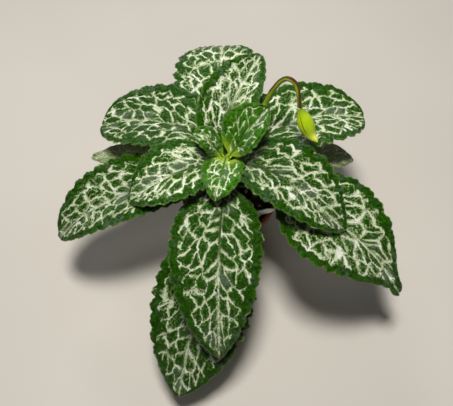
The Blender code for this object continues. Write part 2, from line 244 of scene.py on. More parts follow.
def cell_texture(points: np.ndarray, stray: float) -> np.ndarray:
    """The texture of random cells at any points: distance to the border of the cell each lies in.

    Args:
        points: Places in the texture, one row each.
        stray: The texture's randomness.

    Returns:
        One distance for each point.
    """
    mesh = bpy.data.meshes.new("probe")
    mesh.vertices.add(len(points))
    mesh.vertices.foreach_set("co", points.ravel())
    probe = bpy.data.objects.new("probe", mesh)
    bpy.context.scene.collection.objects.link(probe)
    tree = bpy.data.node_groups.new("probe", "GeometryNodeTree")
    for way in ("INPUT", "OUTPUT"):
        tree.interface.new_socket("Geometry", in_out=way, socket_type="NodeSocketGeometry")
    come, leave = tree.nodes.new("NodeGroupInput"), tree.nodes.new("NodeGroupOutput")
    place = tree.nodes.new("GeometryNodeInputPosition")
    cells = tree.nodes.new("ShaderNodeTexVoronoi")
    cells.voronoi_dimensions, cells.feature = "2D", "DISTANCE_TO_EDGE"
    cells.inputs["Scale"].default_value = 1.0
    cells.inputs["Randomness"].default_value = stray
    store = tree.nodes.new("GeometryNodeStoreNamedAttribute")
    store.inputs["Name"].default_value = "border"
    tree.links.new(place.outputs[0], cells.inputs["Vector"])
    tree.links.new(cells.outputs["Distance"], store.inputs["Value"])
    tree.links.new(come.outputs[0], store.inputs["Geometry"])
    tree.links.new(store.outputs[0], leave.inputs[0])
    probe.modifiers.new("probe", "NODES").node_group = tree
    done = probe.evaluated_get(bpy.context.evaluated_depsgraph_get()).data
    values = np.empty(len(points), np.float32)
    done.attributes["border"].data.foreach_get("value", values)
    bpy.data.objects.remove(probe)
    bpy.data.meshes.remove(mesh)
    bpy.data.node_groups.remove(tree)
    return values.astype(float)


def mesh_object(
    name: str,
    points: np.ndarray,
    faces: Sequence[np.ndarray],
    marks: dict[str, np.ndarray] | None = None,
) -> bpy.types.Object:
    """A smooth mesh object in metres from points in millimetres.

    Args:
        name: Name of the object.
        points: Positions, one row each.
        faces: Arrays of corner numbers, each with faces of one number of corners.
        marks: Three numbers for each point, by the name of the attribute that holds them.

    Returns:
        The object, in the scene, at the origin.
    """
    corners = np.concatenate([part.ravel() for part in faces]).astype(np.int32)
    counts = np.concatenate([np.full(len(part), part.shape[1]) for part in faces])
    starts = np.concatenate([[0], np.cumsum(counts)[:-1]]).astype(np.int32)
    mesh = bpy.data.meshes.new(name)
    mesh.vertices.add(len(points))
    mesh.vertices.foreach_set("co", (points * MM).astype(np.float32).ravel())
    mesh.loops.add(len(corners))
    mesh.loops.foreach_set("vertex_index", corners)
    mesh.polygons.add(len(starts))
    mesh.polygons.foreach_set("loop_start", starts)
    mesh.polygons.foreach_set("use_smooth", np.ones(len(starts), bool))
    mesh.update(calc_edges=True)
    for label, values in (marks or {}).items():
        layer = mesh.attributes.new(label, "FLOAT_VECTOR", "POINT")
        layer.data.foreach_set("vector", values.astype(np.float32).ravel())
    made = bpy.data.objects.new(name, mesh)
    bpy.context.scene.collection.objects.link(made)
    return made


def dress(
    piece: bpy.types.Object, finish: bpy.types.Material, node: str
) -> bpy.types.Object:
    """Gives a piece its finish and ties it to the frame.

    Args:
        piece: The piece.
        finish: Its material.
        node: The CAD node that it stands for.

    Returns:
        The piece.
    """
    piece.data.materials.append(finish)
    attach(piece, "root")
    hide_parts(node)
    return piece


def strip(near: np.ndarray, far: np.ndarray) -> np.ndarray:
    """Four-cornered faces between rings of point numbers and the rings next to them."""
    quads = np.stack([near, far, np.roll(far, -1, axis=-1), np.roll(near, -1, axis=-1)], -1)
    return quads.reshape(-1, 4)


def tube(rings: np.ndarray, ends: np.ndarray) -> tuple[np.ndarray, list[np.ndarray]]:
    """A closed tube: strips of faces between its rings, and a fan round a point at each end.

    Args:
        rings: The rings in order, each clockwise as seen looking ahead.
        ends: The middle of the first ring and the middle of the last.

    Returns:
        The points, with the two middles last, and the corner numbers of the faces.
    """
    rows, around = rings.shape[:2]
    index = np.arange(rows * around).reshape(rows, around)
    faces = [strip(index[:-1], index[1:])]
    for end, ring in enumerate((index[0], index[-1])):
        pair = [ring, np.roll(ring, -1)]
        middle = np.full_like(ring, rows * around + end)
        faces.append(np.stack([middle, *(pair[::-1] if end else pair)], -1))
    return np.concatenate([rings.reshape(-1, 3), ends]), faces


HAIR_POINTS = 4  # in the mesh of one hair


@dataclass(frozen=True)
class Hairs:
    """Fine tapering hairs, each a closed spike with three sides."""

    roots: np.ndarray
    directions: np.ndarray
    lengths: np.ndarray
    radius: float = 0.035
    sunk: float = 0.08  # how far below its root a hair begins

    def join(
        self, points: np.ndarray, faces: list[np.ndarray]
    ) -> tuple[np.ndarray, list[np.ndarray]]:
        """Adds the hairs to a mesh: three points round each root and one at the tip.

        Args:
            points: Points of the mesh.
            faces: Corner numbers of its faces.

        Returns:
            The points and the faces, with those of the hairs after them.
        """
        ahead = unit(self.directions)
        helper = np.where(np.abs(ahead[:, 2:]) < 0.8, [UP], [[1.0, 0.0, 0.0]])
        side = unit(np.cross(helper, ahead))
        over = np.cross(ahead, side)
        angle = turns(3)[:, None]
        ring = (side[:, None] * np.cos(angle) + over[:, None] * np.sin(angle)) * self.radius
        base = self.roots[:, None] + ring - ahead[:, None] * self.sunk
        tip = self.roots + ahead * self.lengths[:, None]
        spikes = np.concatenate([base, tip[:, None]], 1).reshape(-1, 3)
        first = len(points) + np.arange(len(self.roots))[:, None, None] * HAIR_POINTS
        corners = first + np.array([[0, 1, 3], [1, 2, 3], [2, 0, 3], [2, 1, 0]])
        return np.concatenate([points, spikes]), [*faces, corners.reshape(-1, 3)]


class NodeTree:
    """A material and short calls that add nodes to it."""

    def __init__(self, name: str) -> None:
        """Starts the material with its Principled shader.

        Args:
            name: Name of the material.
        """
        self.material = bpy.data.materials.new(name)
        self.material.use_nodes = True
        self.tree = self.material.node_tree
        self.shader = self.tree.nodes["Principled BSDF"]

    def feed(self, socket: bpy.types.NodeSocket, value: object) -> None:
        """Links a socket to an input, or sets the input to a plain value.

        Args:
            socket: The input.
            value: The socket or the value.
        """
        if isinstance(value, bpy.types.NodeSocket):
            self.tree.links.new(value, socket)
        else:
            socket.default_value = value

    def add(self, kind: str, inputs: dict, **settings: object) -> bpy.types.Node:
        """A new node.

        Args:
            kind: The node's type.
            inputs: Value or socket for each input, by its name or number.
            settings: Properties of the node.

        Returns:
            The node.
        """
        node = self.tree.nodes.new(kind)
        for key, value in settings.items():
            setattr(node, key, value)
        for key, value in inputs.items():
            self.feed(node.inputs[key], value)
        return node

    def math(
        self, operation: str, a: object, b: object = 0.0, c: object = 0.0
    ) -> bpy.types.NodeSocket:
        """The result of one sum on two or three numbers or sockets."""
        return self.add("ShaderNodeMath", {0: a, 1: b, 2: c}, operation=operation).outputs[0]

    def plus(self, a: object, b: object) -> bpy.types.NodeSocket:
        """The sum of two values."""
        return self.math("ADD", a, b)

    def minus(self, a: object, b: object) -> bpy.types.NodeSocket:
        """The first value less the second."""
        return self.math("SUBTRACT", a, b)

    def times(self, a: object, b: object) -> bpy.types.NodeSocket:
        """The product of two values."""
        return self.math("MULTIPLY", a, b)

    def ease(self, value: object, low: float, high: float) -> bpy.types.NodeSocket:
        """0 below low, 1 above high and a smooth step between; high may be the smaller one."""
        inputs = {"Value": value, "From Min": low, "From Max": high}
        node = self.add("ShaderNodeMapRange", inputs, interpolation_type="SMOOTHSTEP")
        return node.outputs[0]

    def span(self, value: object, low: float, high: float) -> bpy.types.NodeSocket:
        """A value from 0 to 1 carried over to the range from low to high."""
        inputs = {"Value": value, "To Min": low, "To Max": high}
        return self.add("ShaderNodeMapRange", inputs).outputs[0]

    def blend(self, share: object, a: object, b: object) -> bpy.types.NodeSocket:
        """Colour a turned into colour b by a share."""
        colours = [(*c, 1.0) if isinstance(c, tuple) else c for c in (a, b)]
        inputs = {0: share, 6: colours[0], 7: colours[1]}
        return self.add("ShaderNodeMix", inputs, data_type="RGBA").outputs[2]

    def turn(
        self, value: object, low: float, high: float, a: object, b: object
    ) -> bpy.types.NodeSocket:
        """Colour a, turned into colour b as a value goes from low to high."""
        return self.blend(self.ease(value, low, high), a, b)

    def place(self) -> bpy.types.NodeSocket:
        """The point's own position on the object, in metres."""
        return self.add("ShaderNodeTexCoord", {}).outputs["Object"]

    def height(self, at: object) -> bpy.types.NodeSocket:
        """The height of a place."""
        return self.add("ShaderNodeSeparateXYZ", {0: at}).outputs[2]

    def mark(self, name: str) -> bpy.types.NodeSocket:
        """Three numbers stored on the mesh."""
        return self.add("ShaderNodeAttribute", {}, attribute_name=name).outputs["Vector"]

    def marks(self, name: str) -> tuple[bpy.types.NodeSocket, ...]:
        """The same three numbers, one socket each."""
        return tuple(self.add("ShaderNodeSeparateXYZ", {0: self.mark(name)}).outputs)

    def grain(self, at: object, scale: float, detail: float = 2.0) -> bpy.types.NodeSocket:
        """Cloudy noise about 0.5; scale is how many blotches there are in a unit."""
        inputs = {"Vector": at, "Scale": scale, "Detail": detail}
        return self.add("ShaderNodeTexNoise", inputs).outputs[0]

    def crackle(self, at: object, scale: float) -> bpy.types.NodeSocket:
        """Distance to the borders of random cells, as a share of a cell."""
        inputs = {"Vector": at, "Scale": scale}
        node = self.add("ShaderNodeTexVoronoi", inputs, feature="DISTANCE_TO_EDGE")
        return node.outputs["Distance"]

    def layer(self, at: object, layer: NetLayer, feature: str) -> bpy.types.Node:
        """The texture of one size of cells in a leaf's net.

        Args:
            at: The place, in millimetres.
            layer: The size of the cells.
            feature: What the texture gives.

        Returns:
            The node.
        """
        scale = (1 / layer.length, 1 / layer.width, 0.0)
        inputs = {0: at, 1: scale, 2: (layer.shift, layer.shift, 0.0)}
        spot = self.add("ShaderNodeVectorMath", inputs, operation="MULTIPLY_ADD").outputs[0]
        inputs = {"Vector": spot, "Scale": 1.0, "Randomness": layer.stray}
        return self.add("ShaderNodeTexVoronoi", inputs, feature=feature, voronoi_dimensions="2D")

    def borders(self, at: object, layer: NetLayer) -> bpy.types.NodeSocket:
        """Distance to the borders of one size of cells, in millimetres."""
        node = self.layer(at, layer, "DISTANCE_TO_EDGE")
        return self.times(node.outputs["Distance"], layer.mean)

    def warped(self, at: object, scale: float, reach: float) -> bpy.types.NodeSocket:
        """A place moved about by cloudy noise.

        Args:
            at: The place.
            scale: How many blotches of the noise there are in a unit.
            reach: How far it moves either way at the most.

        Returns:
            The new place.
        """
        cloud = self.add("ShaderNodeTexNoise", {"Vector": at, "Scale": scale, "Detail": 2.0})
        inputs = {0: cloud.outputs["Color"], 1: (2 * reach,) * 3, 2: (-reach,) * 3}
        move = self.add("ShaderNodeVectorMath", inputs, operation="MULTIPLY_ADD").outputs[0]
        return self.add("ShaderNodeVectorMath", {0: at, 1: move}).outputs[0]

    def bump(self, height: object, depth: float) -> bpy.types.NodeSocket:
        """A surface direction roughened by a height, depth metres from 0 to 1."""
        inputs = {"Height": height, "Distance": depth, "Strength": 1.0}
        return self.add("ShaderNodeBump", inputs).outputs[0]

    def grit(self, at: object, scale: float, detail: float, depth: float) -> bpy.types.NodeSocket:
        """A surface direction roughened by cloudy noise."""
        return self.bump(self.grain(at, scale, detail), depth)

    def surface(self, **values: object) -> bpy.types.Material:
        """Sets the Principled shader's inputs; an underscore in a name stands for a blank.

        Returns:
            The finished material.
        """
        for key, value in values.items():
            self.feed(self.shader.inputs[key.replace("_", " ")], value)
        return self.material


@dataclass(frozen=True)
class LeafSkin:
    """The finish of a leaf: dark green under a cream net, with a plain green margin."""

    vigour: Vigour
    deep: Colour
    margin: Colour
    net: Colour
    foot: Colour  # of the blade, beside the petiole
    fringe: Colour = (0.20, 0.29, 0.10)
    painted_sheen: Colour = (0.120, 0.155, 0.120)  # painted sheen: silvery patches of the green, standing in for reflected light
    painted_highlight: Colour = (0.86, 0.88, 0.80)  # painted highlight: whiter patches of the net
    under: Colour = (0.16, 0.22, 0.075)
    hair: Colour = (0.50, 0.56, 0.34)
    lip: Colour = (0.085, 0.18, 0.022)  # the very edge
    spot: Colour = (0.19, 0.085, 0.008)
    rib: Colour = (0.045, 0.085, 0.022)


SKINS = (
    LeafSkin(
        Vigour.GROWN,
        deep=(0.0085, 0.037, 0.0004),
        margin=(0.019, 0.084, 0.0008),
        net=(0.64, 0.69, 0.49),
        foot=(0.04, 0.12, 0.010),
    ),
    LeafSkin(
        Vigour.YOUNG,
        deep=(0.018, 0.078, 0.0012),
        margin=(0.045, 0.170, 0.004),
        net=(0.68, 0.77, 0.48),
        foot=(0.28, 0.40, 0.02),
        rib=(0.045, 0.14, 0.007),
    ),
    # painted light: far paler than a grown leaf, standing in for the light that reaches leaves under
    # the others
    LeafSkin(
        Vigour.SHADED,
        deep=(0.20, 0.23, 0.11),
        margin=(0.22, 0.26, 0.11),
        net=(0.52, 0.53, 0.41),
        foot=(0.08, 0.12, 0.03),
    ),
)


class LeafPaint:
    """The nodes of one leaf skin, fed by the marks that LeafPiece stores on its mesh.

    Distances are millimetres. A line of the net is half its width less the distance to the
    border of a cell, so it is above 0 on the line and below 0 beside it.
    """

    wander = 1.3  # how far the lines stray from the borders of even cells
    half_line = (0.12, 0.84)  # least and greatest half width of a large line
    crackle_scale = 640.0  # fine cells to a metre
    crackle_size = 1.56  # of a fine cell
    spur = (0.38, 0.16, 0.34)  # reach of the spurs: slope, least and random part
    relief = 0.00016  # in metres

    def __init__(self, skin: LeafSkin) -> None:
        """Reads the marks, and sets out the cells of the net and of its fringe.

        Args:
            skin: The colours.
        """
        kit = NodeTree(f"{skin.vigour.value}_leaf_skin")
        self.skin, self.kit = skin, kit
        self.lift, self.rim, self.rib = kit.marks("lift_rim_rib")
        self.share, self.under, self.hair = kit.marks("share_under_hair")
        # the third mark, dark, is painted shade: how far the colour is darkened towards black
        self.spot, self.small, self.dark = kit.marks("spot_small_shade")
        self.flow, self.at = kit.mark("flow"), kit.place()
        self.bent = kit.warped(self.flow, 0.30, self.wander)
        self.coarse, self.medium = (kit.borders(self.bent, cells) for cells in (COARSE, MEDIUM))
        self.fine = kit.times(kit.crackle(self.at, self.crackle_scale), self.crackle_size)
        self.mottle = kit.grain(self.at, 550.0, 3.0)

    def patches(self, scale: float, low: float, high: float) -> bpy.types.NodeSocket:
        """Blotches that follow the veins: 1 inside them and 0 outside."""
        return self.kit.ease(self.kit.grain(self.flow, scale), low, high)

    def lines(self) -> bpy.types.NodeSocket:
        """The net with smooth edges: lines round the large cells, thinner ones round the small
        cells, and one along the outer part of the midrib.

        Returns:
            How far inside a line a point lies.
        """
        kit = self.kit
        wide = kit.span(self.patches(0.18, 0.36, 0.66), *self.half_line)
        large = kit.minus(kit.plus(wide, self.lift), self.coarse)
        beside = kit.span(kit.ease(self.coarse, 2.0, 0.2), 0.0, 0.30)
        thin = kit.plus(kit.plus(self.small, beside), kit.times(self.lift, 0.6))
        both = kit.math("SMOOTH_MAX", large, kit.minus(thin, self.medium), 0.3)
        middle = kit.span(kit.ease(self.share, 0.38, 0.62), -0.45, 0.02)
        middle = kit.plus(middle, kit.times(wide, 0.6))
        middle = kit.minus(middle, kit.times(self.rib, 0.75))
        return kit.math("SMOOTH_MAX", both, middle, 0.2)

    def feathered(self, lines: bpy.types.NodeSocket) -> bpy.types.NodeSocket:
        """The lines with spurs: borders of fine cells, which fade out with the distance.

        Args:
            lines: How far inside a line a point lies.

        Returns:
            The same for the lines with their spurs.
        """
        kit = self.kit
        slope, least, uneven = self.spur
        reach = kit.math("MULTIPLY_ADD", lines, slope, least)
        reach = kit.math("MULTIPLY_ADD", kit.grain(self.at, 450.0, 1.0), uneven, reach)
        reach = kit.plus(reach, kit.math("MINIMUM", kit.times(self.lift, 0.5), 0.1))
        return kit.math("SMOOTH_MAX", lines, kit.minus(reach, self.fine), 0.08)

    def greens(self, net: bpy.types.NodeSocket) -> bpy.types.NodeSocket:
        """The green between the lines: cloudy, each cell its own tone, lighter beside a line,
        with a painted sheen in patches near the midrib, plain along the margin and pale at the
        very edge.

        Args:
            net: How far inside the net a point lies.

        Returns:
            The colour.
        """
        kit, skin = self.kit, self.skin
        light, lighter = (tuple(c * more for c in skin.deep) for more in (1.5, 1.7))
        green = kit.turn(kit.grain(self.flow, 0.16, 3.0), 0.3, 0.7, skin.deep, light)
        cell = kit.layer(self.bent, COARSE, "F1").outputs["Color"]
        tone = kit.add("ShaderNodeSeparateColor", {0: cell}).outputs[0]
        green = kit.blend(kit.span(tone, 0.0, 0.5), green, lighter)
        green = kit.blend(kit.times(kit.ease(net, -0.75, 0.05), 0.55), green, skin.margin)
        # painted sheen: silver-grey patches near the midrib, standing in for reflected light
        painted_sheen_share = kit.times(self.patches(0.07, 0.50, 0.62), kit.ease(self.rib, 10.0, 4.0))
        painted_sheen_share = kit.times(painted_sheen_share, kit.span(kit.grain(self.at, 1100.0, 3.0), 0.0, 1.1))
        green = kit.blend(painted_sheen_share, green, skin.painted_sheen)
        green = kit.blend(kit.times(kit.ease(self.rim, 6.0, 2.0), 0.85), green, self.rim_green())
        green = kit.blend(kit.times(kit.ease(self.rim, 0.9, 0.1), 0.6), green, skin.lip)
        return kit.blend(kit.ease(self.share, 0.24, 0.02), green, skin.foot)

    def rim_green(self) -> bpy.types.NodeSocket:
        """The mottled green of the margin, with a painted sheen in patches.

        Returns:
            The colour.
        """
        kit, skin = self.kit, self.skin
        light = tuple(c * 1.35 for c in skin.margin)
        green = kit.turn(self.mottle, 0.3, 0.7, light, skin.deep)
        # painted sheen: lighter grey-green patches on the margin, standing in for reflected light
        sheen = kit.times(self.patches(0.13, 0.52, 0.68), kit.ease(self.mottle, 0.65, 0.4))
        return kit.blend(kit.times(sheen, 0.7), green, skin.painted_sheen)

    def creams(self, net: bpy.types.NodeSocket) -> bpy.types.NodeSocket:
        """The cream of the lines: mottled, whiter in painted highlights, greener towards its edge.

        Args:
            net: How far inside the net a point lies.

        Returns:
            The colour.
        """
        kit, skin = self.kit, self.skin
        cream = kit.turn(self.mottle, 0.25, 0.75, skin.net, tuple(c * 0.8 for c in skin.net))
        # painted highlight: whiter patches of the net
        cream = kit.blend(kit.times(self.patches(0.085, 0.50, 0.64), 0.6), cream, skin.painted_highlight)
        return kit.turn(net, 0.0, 0.50, skin.fringe, cream)

    def finish(self) -> bpy.types.Material:
        """Lays the colours over one another and adds the fine relief.

        Returns:
            The material.
        """
        kit, skin = self.kit, self.skin
        net = self.feathered(self.lines())
        colour = kit.blend(kit.ease(net, -0.14, 0.18), self.greens(net), self.creams(net))
        midline = kit.times(kit.ease(self.rib, 0.75, 0.3), kit.ease(self.share, 0.62, 0.40))
        # after the midrib's tint: painted shade towards black, then spots, the lower face and the hairs
        for share, tint in (
            (midline, skin.rib),
            (self.dark, BLACK),
            (self.spot, skin.spot),
            (self.under, skin.under),
            (self.hair, skin.hair),
        ):
            colour = kit.blend(share, colour, tint)
        quilt = kit.plus(kit.ease(self.fine, 0.0, 0.5), kit.ease(self.medium, 0.0, 0.9))
        quilt = kit.plus(quilt, kit.times(kit.grain(self.at, 3200.0, 3.0), 0.5))
        rough = kit.span(kit.grain(self.at, 800.0, 3.0), 0.24, 0.38)
        return kit.surface(
            Base_Color=colour,
            Roughness=kit.plus(rough, kit.times(self.under, 0.25)),
            Normal=kit.bump(quilt, self.relief),
            Specular_IOR_Level=0.38,
        )


@dataclass(frozen=True)
class LeafForm:
    """The form of one leaf, the same as its CAD node's, with how its net looks."""

    name: str
    foot: float  # height of its foot on the crown
    heading: float  # degrees round from +X at the foot
    tip: Place
    rise: float  # degrees up at the foot
    fall: float  # degrees down at the tip
    width: float
    widest: float = 0.45  # share of the way along
    taper: float = 1.4  # more makes both ends slimmer
    fold: float = 10.0  # degrees that each half stands up beside the midrib
    curl: float = -20.0  # degrees that each half bends on its way out
    roll: float = 0.0  # degrees about the midrib
    bow: float = 0.0  # how far the midrib swings sideways
    teeth: int = 12  # along each margin
    rib: float = 1.0  # strength of the midrib
    petiole: float = 0.07  # share of the length
    lobe: float = 0.0  # how far the blade reaches back beside its foot
    skew: float = 0.0  # share by which the left half is wider
    blunt: float = 1.8  # radius of the tip
    vigour: Vigour = Vigour.GROWN
    pale: float = 1.0  # strength of the net
    painted_shade: float = 0.0  # painted shade: how far the whole leaf is darkened where less light falls on it
    blotch: float = 0.0  # how far its thickest places run together
    seed: float = 1.0
    spots: tuple[Place, ...] = ()  # share along, place across, radius


FORMS = (
    LeafForm("leaf_front", 72, -95, (-6, -110, 50), 35, 45, 54, 0.42, 1.4, 8, -20, 0, -2.5, 13,
             skew=-0.08, pale=1.1, blotch=0.2, painted_shade=0.6, seed=1,
             spots=((0.995, 0.1, 1.4), (0.42, -1.0, 0.9))),
    LeafForm("leaf_front_lower", 56, -100, (-31, -127, 25), 25, 35, 61, 0.52, 1.5, 5, -20, 0, -1,
             14, skew=0.06, pale=1.1, blotch=0.5, painted_shade=0.9, seed=2),
    LeafForm("leaf_right_lower", 62, -18, (105, -69, 46), 22, 50, 66, 0.4, 2.5, 18, -12, -3, 5,
             12, petiole=0.18, skew=-0.12, blunt=4.2, pale=1.25, blotch=0.9, painted_shade=0.55, seed=3,
             spots=((0.6, -1.0, 1.0), (0.66, -1.0, 0.7))),
    LeafForm("leaf_right_upper", 80, -3, (69, -40, 75), 38, 42, 46.5, 0.41, 1.4, 18, -12, 0, -3,
             11, skew=0.1, pale=1.2, blotch=0.6, painted_shade=0.45, seed=4),
    LeafForm("leaf_left_upper", 80, -173, (-62, -21, 77), 38, 42, 41, 0.42, 1.4, 16, -12, 0, 2,
             10, skew=-0.05, pale=1.25, blotch=0.6, seed=5),
    LeafForm("leaf_left_lower", 62, -164, (-109, -34, 50), 24, 48, 47, 0.48, 1.4, 20, -15, 4, -7,
             13, skew=-0.08, pale=1.25, blotch=0.8, painted_shade=0.6, seed=6),
    LeafForm("leaf_left_back", 70, 140, (-86, 41, 69), 38, 24, 55, 0.57, 1.15, 18, -12, 7, -13,
             12, skew=-0.03, pale=0.95, blotch=0.4, painted_shade=0.3, seed=7),
    LeafForm("leaf_left_under", 56, 160, (-94, 26, 54), 22, 25, 30, 0.45, 1.4, 20, -10, 12, 0, 11,
             vigour=Vigour.SHADED, pale=1.1, seed=8),
    LeafForm("leaf_back_lower", 58, 100, (-4, 109, 71), 32, 60, 56, 0.54, 1.2, 8, -20, -5, 2, 12,
             skew=0.12, pale=1.35, blotch=0.5, seed=9),
    LeafForm("leaf_back_upper", 80, 105, (20, 68, 108), 50, 0, 36.5, 0.42, 1.3, 20, -5, 8, 3, 10,
             skew=0.1, pale=1.5, blotch=0.7, seed=10),
    LeafForm("young_leaf_right", 86.5, 43, (23, 24, 110), 45, -30, 30, 0.5, 1.2, 25, 1, 0, 0, 8,
             0.7, 0.02, skew=0.08, vigour=Vigour.YOUNG, pale=0.6, seed=11),
    LeafForm("young_leaf_front", 88, -108, (-9, -28, 90), 20, 45, 25, 0.34, 1.2, 8, -20, 0, 1, 7,
             0.7, 0.02, 24, vigour=Vigour.YOUNG, pale=1.1, seed=12),
    LeafForm("young_leaf_left", 86, 153, (-22, 12, 101), 42, 0, 16, 0.6, 1.3, 18, -10, 0, -3, 6,
             0.6, 0.02, skew=0.15, vigour=Vigour.YOUNG, pale=1.0, seed=13),
    LeafForm("leaf_right_back", 67, 34, (89, 42, 77), 42, 20, 57, 0.55, 1.15, 19, -12, -8, 12, 12,
             skew=-0.03, pale=1.1, blotch=0.4, painted_shade=0.1, seed=14),
    LeafForm("leaf_right_under", 56, 18, (84, 24, 55), 25, 25, 34, 0.5, 1.4, 22, -10, -12, 2, 11,
             vigour=Vigour.SHADED, pale=1.1, seed=15),
)


@dataclass
class Crown:
    """The short upright stem that carries the leaves."""

    foot: float = 33.0
    top: float = 87.0
    apex: float = 1.2  # how far its round end stands over the top
    radius: float = 5.0
    top_radius: float = 2.0
    band: float = 0.125  # height of the scars' bands
    knob: float = 0.7
    lean: tuple[float, float] = (-2.0, 4.0)
    lean_from: float = 44.0  # height at which it begins to lean
    lean_over: float = 44.0
    slim_from: float = 62.0  # height at which it begins to narrow
    slim_over: float = 26.0
    around: int = 48
    rows: int = 120

    def centre(self, z: np.ndarray) -> np.ndarray:
        """The axis at height z: it leans a little more the higher it goes."""
        z = np.asarray(z, float)
        share = np.clip((z - self.lean_from) / self.lean_over, 0.0, None)
        return np.stack([self.lean[0] * share, self.lean[1] * share**1.5, z], -1)

    def radius_at(self, z: np.ndarray) -> np.ndarray:
        """The radius at height z: even at first, then slimmer to the growing point."""
        share = held((np.asarray(z, float) - self.slim_from) / self.slim_over)
        return self.radius - (self.radius - self.top_radius) * share**1.5

    def build(self) -> bpy.types.Object:
        """The stem as a stack of rings with the scars of old leaves as low bands and knobs.

        Returns:
            The piece.
        """
        share = np.linspace(0.0, 1.0, self.rows)
        z = self.foot + (self.top + self.apex - self.foot) * share
        angle = -turns(self.around)
        bands = self.band * np.sin(z * 1.35 + 0.5)[:, None] ** 3
        knobs = rough_noise(angle[None] * 4 + 20, z[:, None], 2.2, 31) - 0.5
        radius = self.radius_at(z)[:, None] + bands + knobs * self.knob
        radius = radius * np.sqrt(np.clip((1 - share) / 0.03, 0.02, 1.0))[:, None]
        ring = np.concatenate([circle(angle), np.zeros((self.around, 1))], -1)
        rings = self.centre(z)[:, None] + ring * radius[..., None]
        piece = mesh_object("crown_stem", *tube(rings, self.centre(z[[0, -1]])))
        return dress(piece, self.tissue(), "crown")

    def tissue(self) -> bpy.types.Material:
        """Green stem tissue, browner and corkier near the soil.

        Returns:
            The material.
        """
        kit = NodeTree("crown_tissue")
        at = kit.place()
        cloud = kit.grain(at, 420.0, 3.0)
        green = kit.turn(cloud, 0.35, 0.65, (0.10, 0.17, 0.03), (0.20, 0.27, 0.05))
        cork = kit.turn(cloud, 0.4, 0.6, (0.055, 0.040, 0.020), (0.13, 0.10, 0.045))
        colour = kit.turn(kit.height(at), 0.050, 0.072, cork, green)
        return kit.surface(Base_Color=colour, Roughness=0.6, Normal=kit.grit(at, 1500.0, 3.0, 0.0003))


CROWN = Crown()


@dataclass(frozen=True)
class LeafGrid:
    """The grid that a leaf is built on, with a row for each station and a column for each place."""

    s: np.ndarray  # stations along the leaf, from 0 to 1
    v: np.ndarray  # places across it, from -1 (right) to 1 (left)
    along: np.ndarray  # distance along the midrib
    plain: np.ndarray  # distance across from the midrib without teeth, left positive
    x: np.ndarray  # the same with teeth
    width: np.ndarray  # distance from midrib to margin with teeth
    rim: np.ndarray  # distance in from the margin
    flow: tuple[np.ndarray, np.ndarray]  # coordinates that follow the veins


